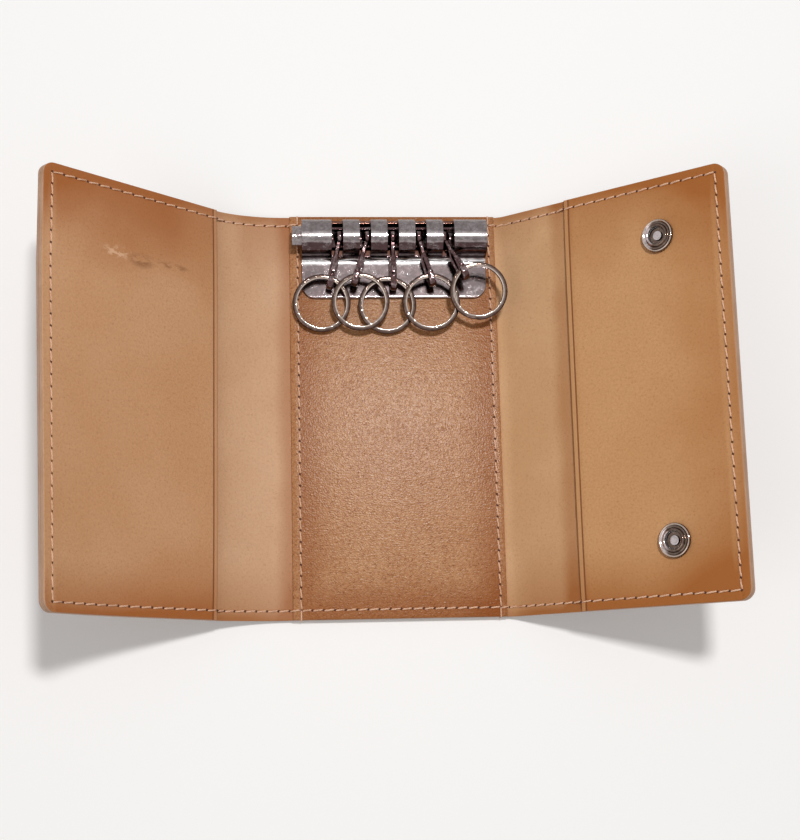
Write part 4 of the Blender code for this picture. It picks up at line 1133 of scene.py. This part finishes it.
# The ring's brown tones are painted reflection of the leather round it.
finishes["ring"] = plating("ring_plating", (0.62, 0.52, 0.46, 1.0), (0.085, 0.048, 0.037, 1.0),
                           (0.03, 0.014, 0.01, 1.0), tarnish=0.6, scratch=0.25, roughness=0.07, mottle=1.0)
socket_middle = sum(corner.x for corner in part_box("snap_socket_upper")) / 2 / MM
# Painted highlight: the band lightens the left side of the socket; its brown tones are painted reflection of the
# leather.
finishes["socket"] = plating(
    "socket_plating_painted_highlight", (0.5, 0.4, 0.34, 1.0), (0.095, 0.062, 0.047, 1.0), (0.03, 0.017, 0.012, 1.0),
    roughness=0.08, mottle=1.1, light_and_shade_bands=(("X", (socket_middle - 6, socket_middle - 5),
                                        (socket_middle - 2.2, socket_middle - 1.2), grey(0.55, 0.08), 0.9),))
finishes["snap"] = plating("snap_plating", grey(0.8, 0.05), grey(0.2, 0.12), grey(0.04, 0.3), mottle=1.1)
finishes["steel"] = plating("hidden_steel", grey(0.6), grey(0.36), grey(0.12, 0.1), tarnish=0.4, scratch=0.4,
                            roughness=0.3)
print("platings made")

# %% [markdown]
# ## Bar, slide, hooks and gates
#
# These are the frame's own solids with their sharp edges broken. A stamped and tumbled part has no
# knife edge, and it is the narrow rounded strip along an edge that catches the light. A bevel on the
# welded solid makes it.

# %% Broken edges
WELD = 0.0015
# Angles between faces, in degrees: one flat face, an edge to break, and the most that is shaded smooth
FLAT_UNDER, SHARP_OVER, SMOOTH_UNDER = 0.6, 35.0, 42.0
nodes_of_body = frame["record"]["behaviour"]["bodies"]
body_of_node = {node: body for body, nodes in nodes_of_body.items() for node in nodes}


def stands_for(made, node):
    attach(made, body_of_node[node])
    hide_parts(node)


def welded(node):
    """The frame's solid as a bmesh in mm, with its doubled points made one."""
    shape = bmesh.new()
    shape.from_mesh(frame["nodes"][node].data)
    shape.transform(Matrix.Scale(1 / MM, 4))
    bmesh.ops.remove_doubles(shape, verts=shape.verts, dist=WELD)
    return shape


def broken_edges(node, width, finish):
    """The frame's solid as a new piece whose edges are rounded by a width in mm."""
    shape = welded(node)
    bmesh.ops.dissolve_limit(shape, angle_limit=radians(FLAT_UNDER), verts=shape.verts, edges=shape.edges)
    corners = [edge for edge in shape.edges if edge.calc_face_angle(0.0) > radians(SHARP_OVER)]
    bmesh.ops.bevel(shape, geom=corners, offset=width, offset_type="OFFSET", segments=2, profile=0.5,
                    affect="EDGES", clamp_overlap=True)
    shape.transform(Matrix.Scale(MM, 4))
    made = add_piece("plated_" + node, shape, [finishes[finish]], SMOOTH_UNDER, False)
    made.modifiers.new("even_normals", "WEIGHTED_NORMAL").keep_sharp = True
    stands_for(made, node)


broken_edges("key_bar", 0.10, "bar")
broken_edges("release_slide", 0.08, "slide")
hook_numbers = [int(name[5:]) for name in sorted(frame["nodes"])
                if name.startswith("hook_") and name[5:].isdigit()]
for number in hook_numbers:
    broken_edges(f"hook_{number}", 0.12, "hook")
    broken_edges(f"hook_gate_{number}", 0.06, "hook")
for node in ("bar_backing_plate", "snap_spring_upper", "snap_spring_lower", "snap_stud_back_upper",
             "snap_stud_back_lower"):
    for material_slot in frame["nodes"][node].material_slots:
        material_slot.link = "OBJECT"
        material_slot.material = finishes["steel"]
print("bar, slide,", len(hook_numbers), "hooks and gates dressed")

# %% [markdown]
# ### Return spring
#
# The slide presses its spring against the end of the barrel, so the real spring gets shorter by as
# much as the slide travels. Here the frame's spring is copied with the steel finish and rides with
# its body; it is not made shorter.

# %% Spring copied from the frame
spring = put_in_scene("return_spring", frame["nodes"]["slide_spring"].data.copy())
spring.data.materials.clear()
spring.data.materials.append(finishes["steel"])
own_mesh(spring)
stands_for(spring, "slide_spring")

# %% [markdown]
# ## Split rings
#
# A split ring is flat spring wire wound in two turns. The slit between the turns and the step where
# one turn crosses to the other are what make it read as a key ring, so each ring is wound anew in
# fine steps, in the place and at the turn of the frame's ring.

# %% Winding
RING_STEPS = 84
RING_OVER_STEPS = 14
RING_GAP = 0.1
RING_STEP_PLACE, RING_STEP_SPREAD, RING_END_GAP = radians(215.0), radians(24.0), radians(2.0)
# Section of one turn: share of the wire's width from the inside, share of its half height, how rubbed; the narrow
# bright line near the inside of each flat is wear and also a painted highlight
LOWER_SIDE = ((0.0, -0.6, 0.05), (0.06, -0.94, 0.6), (0.16, -1.0, 1.0), (0.34, -1.0, 0.35),
              (0.52, -1.0, 0.15), (0.70, -0.93, 0.05), (0.86, -0.74, 0.0), (0.96, -0.42, 0.0))
RING_SECTION = (*LOWER_SIDE, (1.0, 0.0, 0.0),
                *((out, -up, worn) for out, up, worn in reversed(LOWER_SIDE)), (0.0, 0.0, 0.0))


def flat_normal(mesh):
    """Normal of the widest faces, which on a ring are the flat sides of its wire."""
    widest = max(mesh.polygons, key=lambda face: face.area)
    return widest.normal * (1 if widest.normal.z > 0 else -1)


def ring_frame(number):
    """Middle and turn of the frame's ring, and its outer radius, inner radius and height."""
    mesh = frame["nodes"][f"ring_{number}"].data
    up = flat_normal(mesh)
    seat = Vector(joints[f"ring_{number}_tip"]["pos_m"])
    side = up.orthogonal().normalized()
    other = up.cross(side)
    middle = Vector((0.0, 0.0, 0.0))
    for way in (side, other, up):
        reaches = [vertex.co.dot(way) for vertex in mesh.vertices]
        middle += way * (min(reaches) + max(reaches)) / 2
    toward = seat - middle
    toward = (toward - up * toward.dot(up)).normalized()
    radii = [((vertex.co - middle) - up * (vertex.co - middle).dot(up)).length for vertex in mesh.vertices]
    levels = [(vertex.co - middle).dot(up) for vertex in mesh.vertices]
    turn = Matrix((toward.cross(up), toward, up)).transposed().to_4x4()
    return Matrix.Translation(middle) @ turn, max(radii), min(radii), max(levels) - min(levels)


def wound_turns(height):
    """Angle and level along the wire: a turn, the step over, and the second turn."""
    low = -(height + RING_GAP * MM) / 4
    half = RING_STEP_SPREAD / 2
    turn = 2 * pi - 2 * half - RING_END_GAP
    wire = [(half + RING_END_GAP + turn * i / RING_STEPS, low) for i in range(RING_STEPS)]
    for i in range(RING_OVER_STEPS):
        share = i / RING_OVER_STEPS
        wire.append((2 * pi - half + 2 * half * share, low * (1 - 2 * (3 * share ** 2 - 2 * share ** 3))))
    return wire + [(2 * pi + half + turn * i / RING_STEPS, -low) for i in range(RING_STEPS + 1)]


def wind_ring(number):
    place, outer, inner, height = ring_frame(number)
    half = (height - RING_GAP * MM) / 4
    shape = bmesh.new()
    rubbed = shape.verts.layers.float.new("rubbed")
    rings = []
    for angle, level in wound_turns(height):
        way = Vector((cos(RING_STEP_PLACE + angle), sin(RING_STEP_PLACE + angle), 0))
        ring = []
        for out, up, worn in RING_SECTION:
            offset = way * (inner + (outer - inner) * out) + Vector((0, 0, level + half * up))
            corner = shape.verts.new(place @ offset)
            corner[rubbed] = worn
            ring.append(corner)
        rings.append(ring)
    join_rings(shape, rings)
    made = add_piece(f"split_ring_{number}", shape, [finishes["ring"]], 60.0)
    stands_for(made, f"ring_{number}")
    return outer, inner, height


for number in hook_numbers:
    ring_sizes = wind_ring(number)
print("rings wound, outer and inner radius and height:", [round(size / MM, 2) for size in ring_sizes], "mm")

# %% [markdown]
# ## Snaps
#
# Caps, sockets and studs are drawn and turned, so their shape is one line spun round an axis. The
# line is read back from the frame's own solid, its corners are rounded, and it is spun again in fine
# steps. What stands out from the leather is rubbed bright and what lies low stays dark.

# %% Turning
TURN_STEPS = 72
CORNER_CUT = 0.12
ON_AXIS = 0.02
SAME_WAY = 0.9995


def meridian(node, middle, up):
    """The solid's outline as (radius, height) in mm, walked along the edges of one of its columns."""
    shape = welded(node)
    flat = {vertex: (vertex.co - middle) - up * (vertex.co - middle).dot(up) for vertex in shape.verts}
    ahead = max(flat.values(), key=lambda away: away.length).normalized()
    column = [v for v, away in flat.items()
              if away.length < ON_AXIS or away.normalized().dot(ahead) > SAME_WAY]
    here = min(column, key=lambda v: flat[v].length)
    walked = []
    while here:
        walked.append(here)
        nearby = [edge.other_vert(here) for edge in here.link_edges]
        here = next((v for v in nearby if v in column and v not in walked), None)
    points = [(flat[v].length, (v.co - middle).dot(up)) for v in walked]
    shape.free()
    points = [(0.0 if radius < ON_AXIS else radius, height) for radius, height in points]
    if points[0][0] == 0.0 and points[-1][0] > 0.0:
        points.append((0.0, points[-1][1]))
    return points


def rounded(points, closed):
    """The outline with every corner off the axis replaced by a short curve."""
    made = []
    count = len(points)
    for i, (radius, height) in enumerate(points):
        if not closed and i in (0, count - 1):
            made.append((radius, height))
            continue
        here = Vector((radius, height))
        before, after = Vector(points[i - 1]) - here, Vector(points[(i + 1) % count]) - here
        cut = min(CORNER_CUT, 0.4 * before.length, 0.4 * after.length)
        near, far = here + before.normalized() * cut, here + after.normalized() * cut
        for share in (0.0, 0.5, 1.0):
            place = near * (1 - share) ** 2 + here * 2 * share * (1 - share) + far * share ** 2
            made.append((max(place.x, 0.0), place.y))
    return made


def turn_again(node, name, up, outward, finish, rub):
    """The solid spun again; outward is +1 where its visible side looks along up, and -1 where it looks back.

    Rub gives how rubbed a point is from its radius in mm and its share of the height toward the outside.
    """
    low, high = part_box(node)
    middle = (Vector(low) + Vector(high)) / 2 / MM
    outline = meridian(node, middle, up)
    closed = outline[0][0] > 0.0
    outline = rounded(outline, closed)
    heights = [height * outward for _, height in outline]
    shape = bmesh.new()
    rubbed = shape.verts.layers.float.new("rubbed")
    side = up.orthogonal().normalized()
    other = up.cross(side)
    rows = []
    for radius, height in outline:
        worn = rub(radius, (height * outward - min(heights)) / (max(heights) - min(heights)))
        row = []
        for k in range(1 if radius == 0.0 else TURN_STEPS):
            angle = 2 * pi * k / TURN_STEPS
            away = side * cos(angle) + other * sin(angle)
            corner = shape.verts.new((middle + away * radius + up * height) * MM)
            corner[rubbed] = worn
            row.append(corner)
        rows.append(row)
    for first, second in list(zip(rows, rows[1:])) + ([(rows[-1], rows[0])] if closed else []):
        for k in range(TURN_STEPS):
            j = k + 1
            around = [first[k % len(first)], first[j % len(first)],
                      second[j % len(second)], second[k % len(second)]]
            face = [corner for i, corner in enumerate(around) if corner not in around[:i]]
            if len(face) > 2:
                shape.faces.new(face)
    stands_for(add_piece(name, shape, [finishes[finish]], 50.0), node)
    return len(outline)


def rub_socket(radius, share):
    return 0.8 if 3.6 < radius < 4.0 and share > 0.5 else 0.1


def rub_cap(radius, share):
    return 0.45 if share < 0.1 else 0.25 + 0.5 * share


def rub_stud(radius, share):
    return 0.15 + 0.6 * share ** 2


RIGHT_FLAP_UP = Vector((-sin(RIGHT_RISE), 0, cos(RIGHT_RISE)))
TURNED = (("socket", RIGHT_FLAP_UP, 1, "socket", rub_socket), ("cap", RIGHT_FLAP_UP, -1, "snap", rub_cap),
          ("stud", LEFT_FLAP_UP, -1, "snap", rub_stud))
for where in ("upper", "lower"):
    counts = [turn_again(f"snap_{part}_{where}", f"turned_{part}_{where}", *how) for part, *how in TURNED]
print("snaps turned, points on their outlines:", counts)

# %% [markdown]
# ## Floor and light
#
# A plain white floor and backdrop hold the object's shadow. One broad lamp stands where the
# room's lamp stood, high over the upper edge, and the world fills the shadows.

# %% Floor
FLOOR_SIZE = 3.0
FLOOR_LEVEL = -0.3 * MM
FLOOR_GLOW = 0.12
WHITE = (1.0, 1.0, 1.0, 1.0)


def seen_directly(tree):
    """1 for rays from the camera and for those that polished or clear surfaces send on, else 0."""
    path = add_node(tree, "LightPath").outputs
    camera_ray, glossy_ray, clear_ray = (
        Signal(tree, path[label]) for label in ("Is Camera Ray", "Is Glossy Ray", "Is Transmission Ray"))
    return maths("MAXIMUM", maths("MAXIMUM", camera_ray, glossy_ray), clear_ray)


mesh = bpy.data.meshes.new("floor")
half = FLOOR_SIZE / 2
corners = [(x * half, y * half, FLOOR_LEVEL) for x, y in ((-1, -1), (1, -1), (1, 1), (-1, 1))]
mesh.from_pydata(corners, [], [(0, 1, 2, 3)])
floor = put_in_scene("floor", mesh)
made, tree, shader = new_material("pale_floor")
feed(shader, {"Base Color": (0.86, 0.845, 0.83, 1.0), "Roughness": 0.9, "Emission Color": WHITE,
              "Emission Strength": seen_directly(tree) * FLOOR_GLOW})
mesh.materials.append(made)

# %% World and lamps
WORLD_LEVEL = 0.29

world = bpy.data.worlds.new("studio")
bpy.context.scene.world = world
world.use_nodes = True
feed(world.node_tree.nodes["Background"],
     {"Color": WHITE, "Strength": seen_directly(world.node_tree).ramp(0.0, 1.0, WORLD_LEVEL, 1.0)})


def lamp(name, place, size, power):
    """A broad lamp that looks at the middle of the case."""
    data = bpy.data.lights.new(name, "AREA")
    data.shape = "RECTANGLE"
    data.size, data.size_y = size
    data.energy = power
    made = put_in_scene(name, data)
    made.location = place
    made.rotation_euler = (-Vector(place)).to_track_quat("-Z", "Y").to_euler()


lamp("key_lamp", (0.064, 0.165, 0.85), (0.09, 0.07), 4.4)
lamp("fill_lamp", (-0.55, -0.35, 0.75), (0.5, 0.5), 1.2)
print("lit")
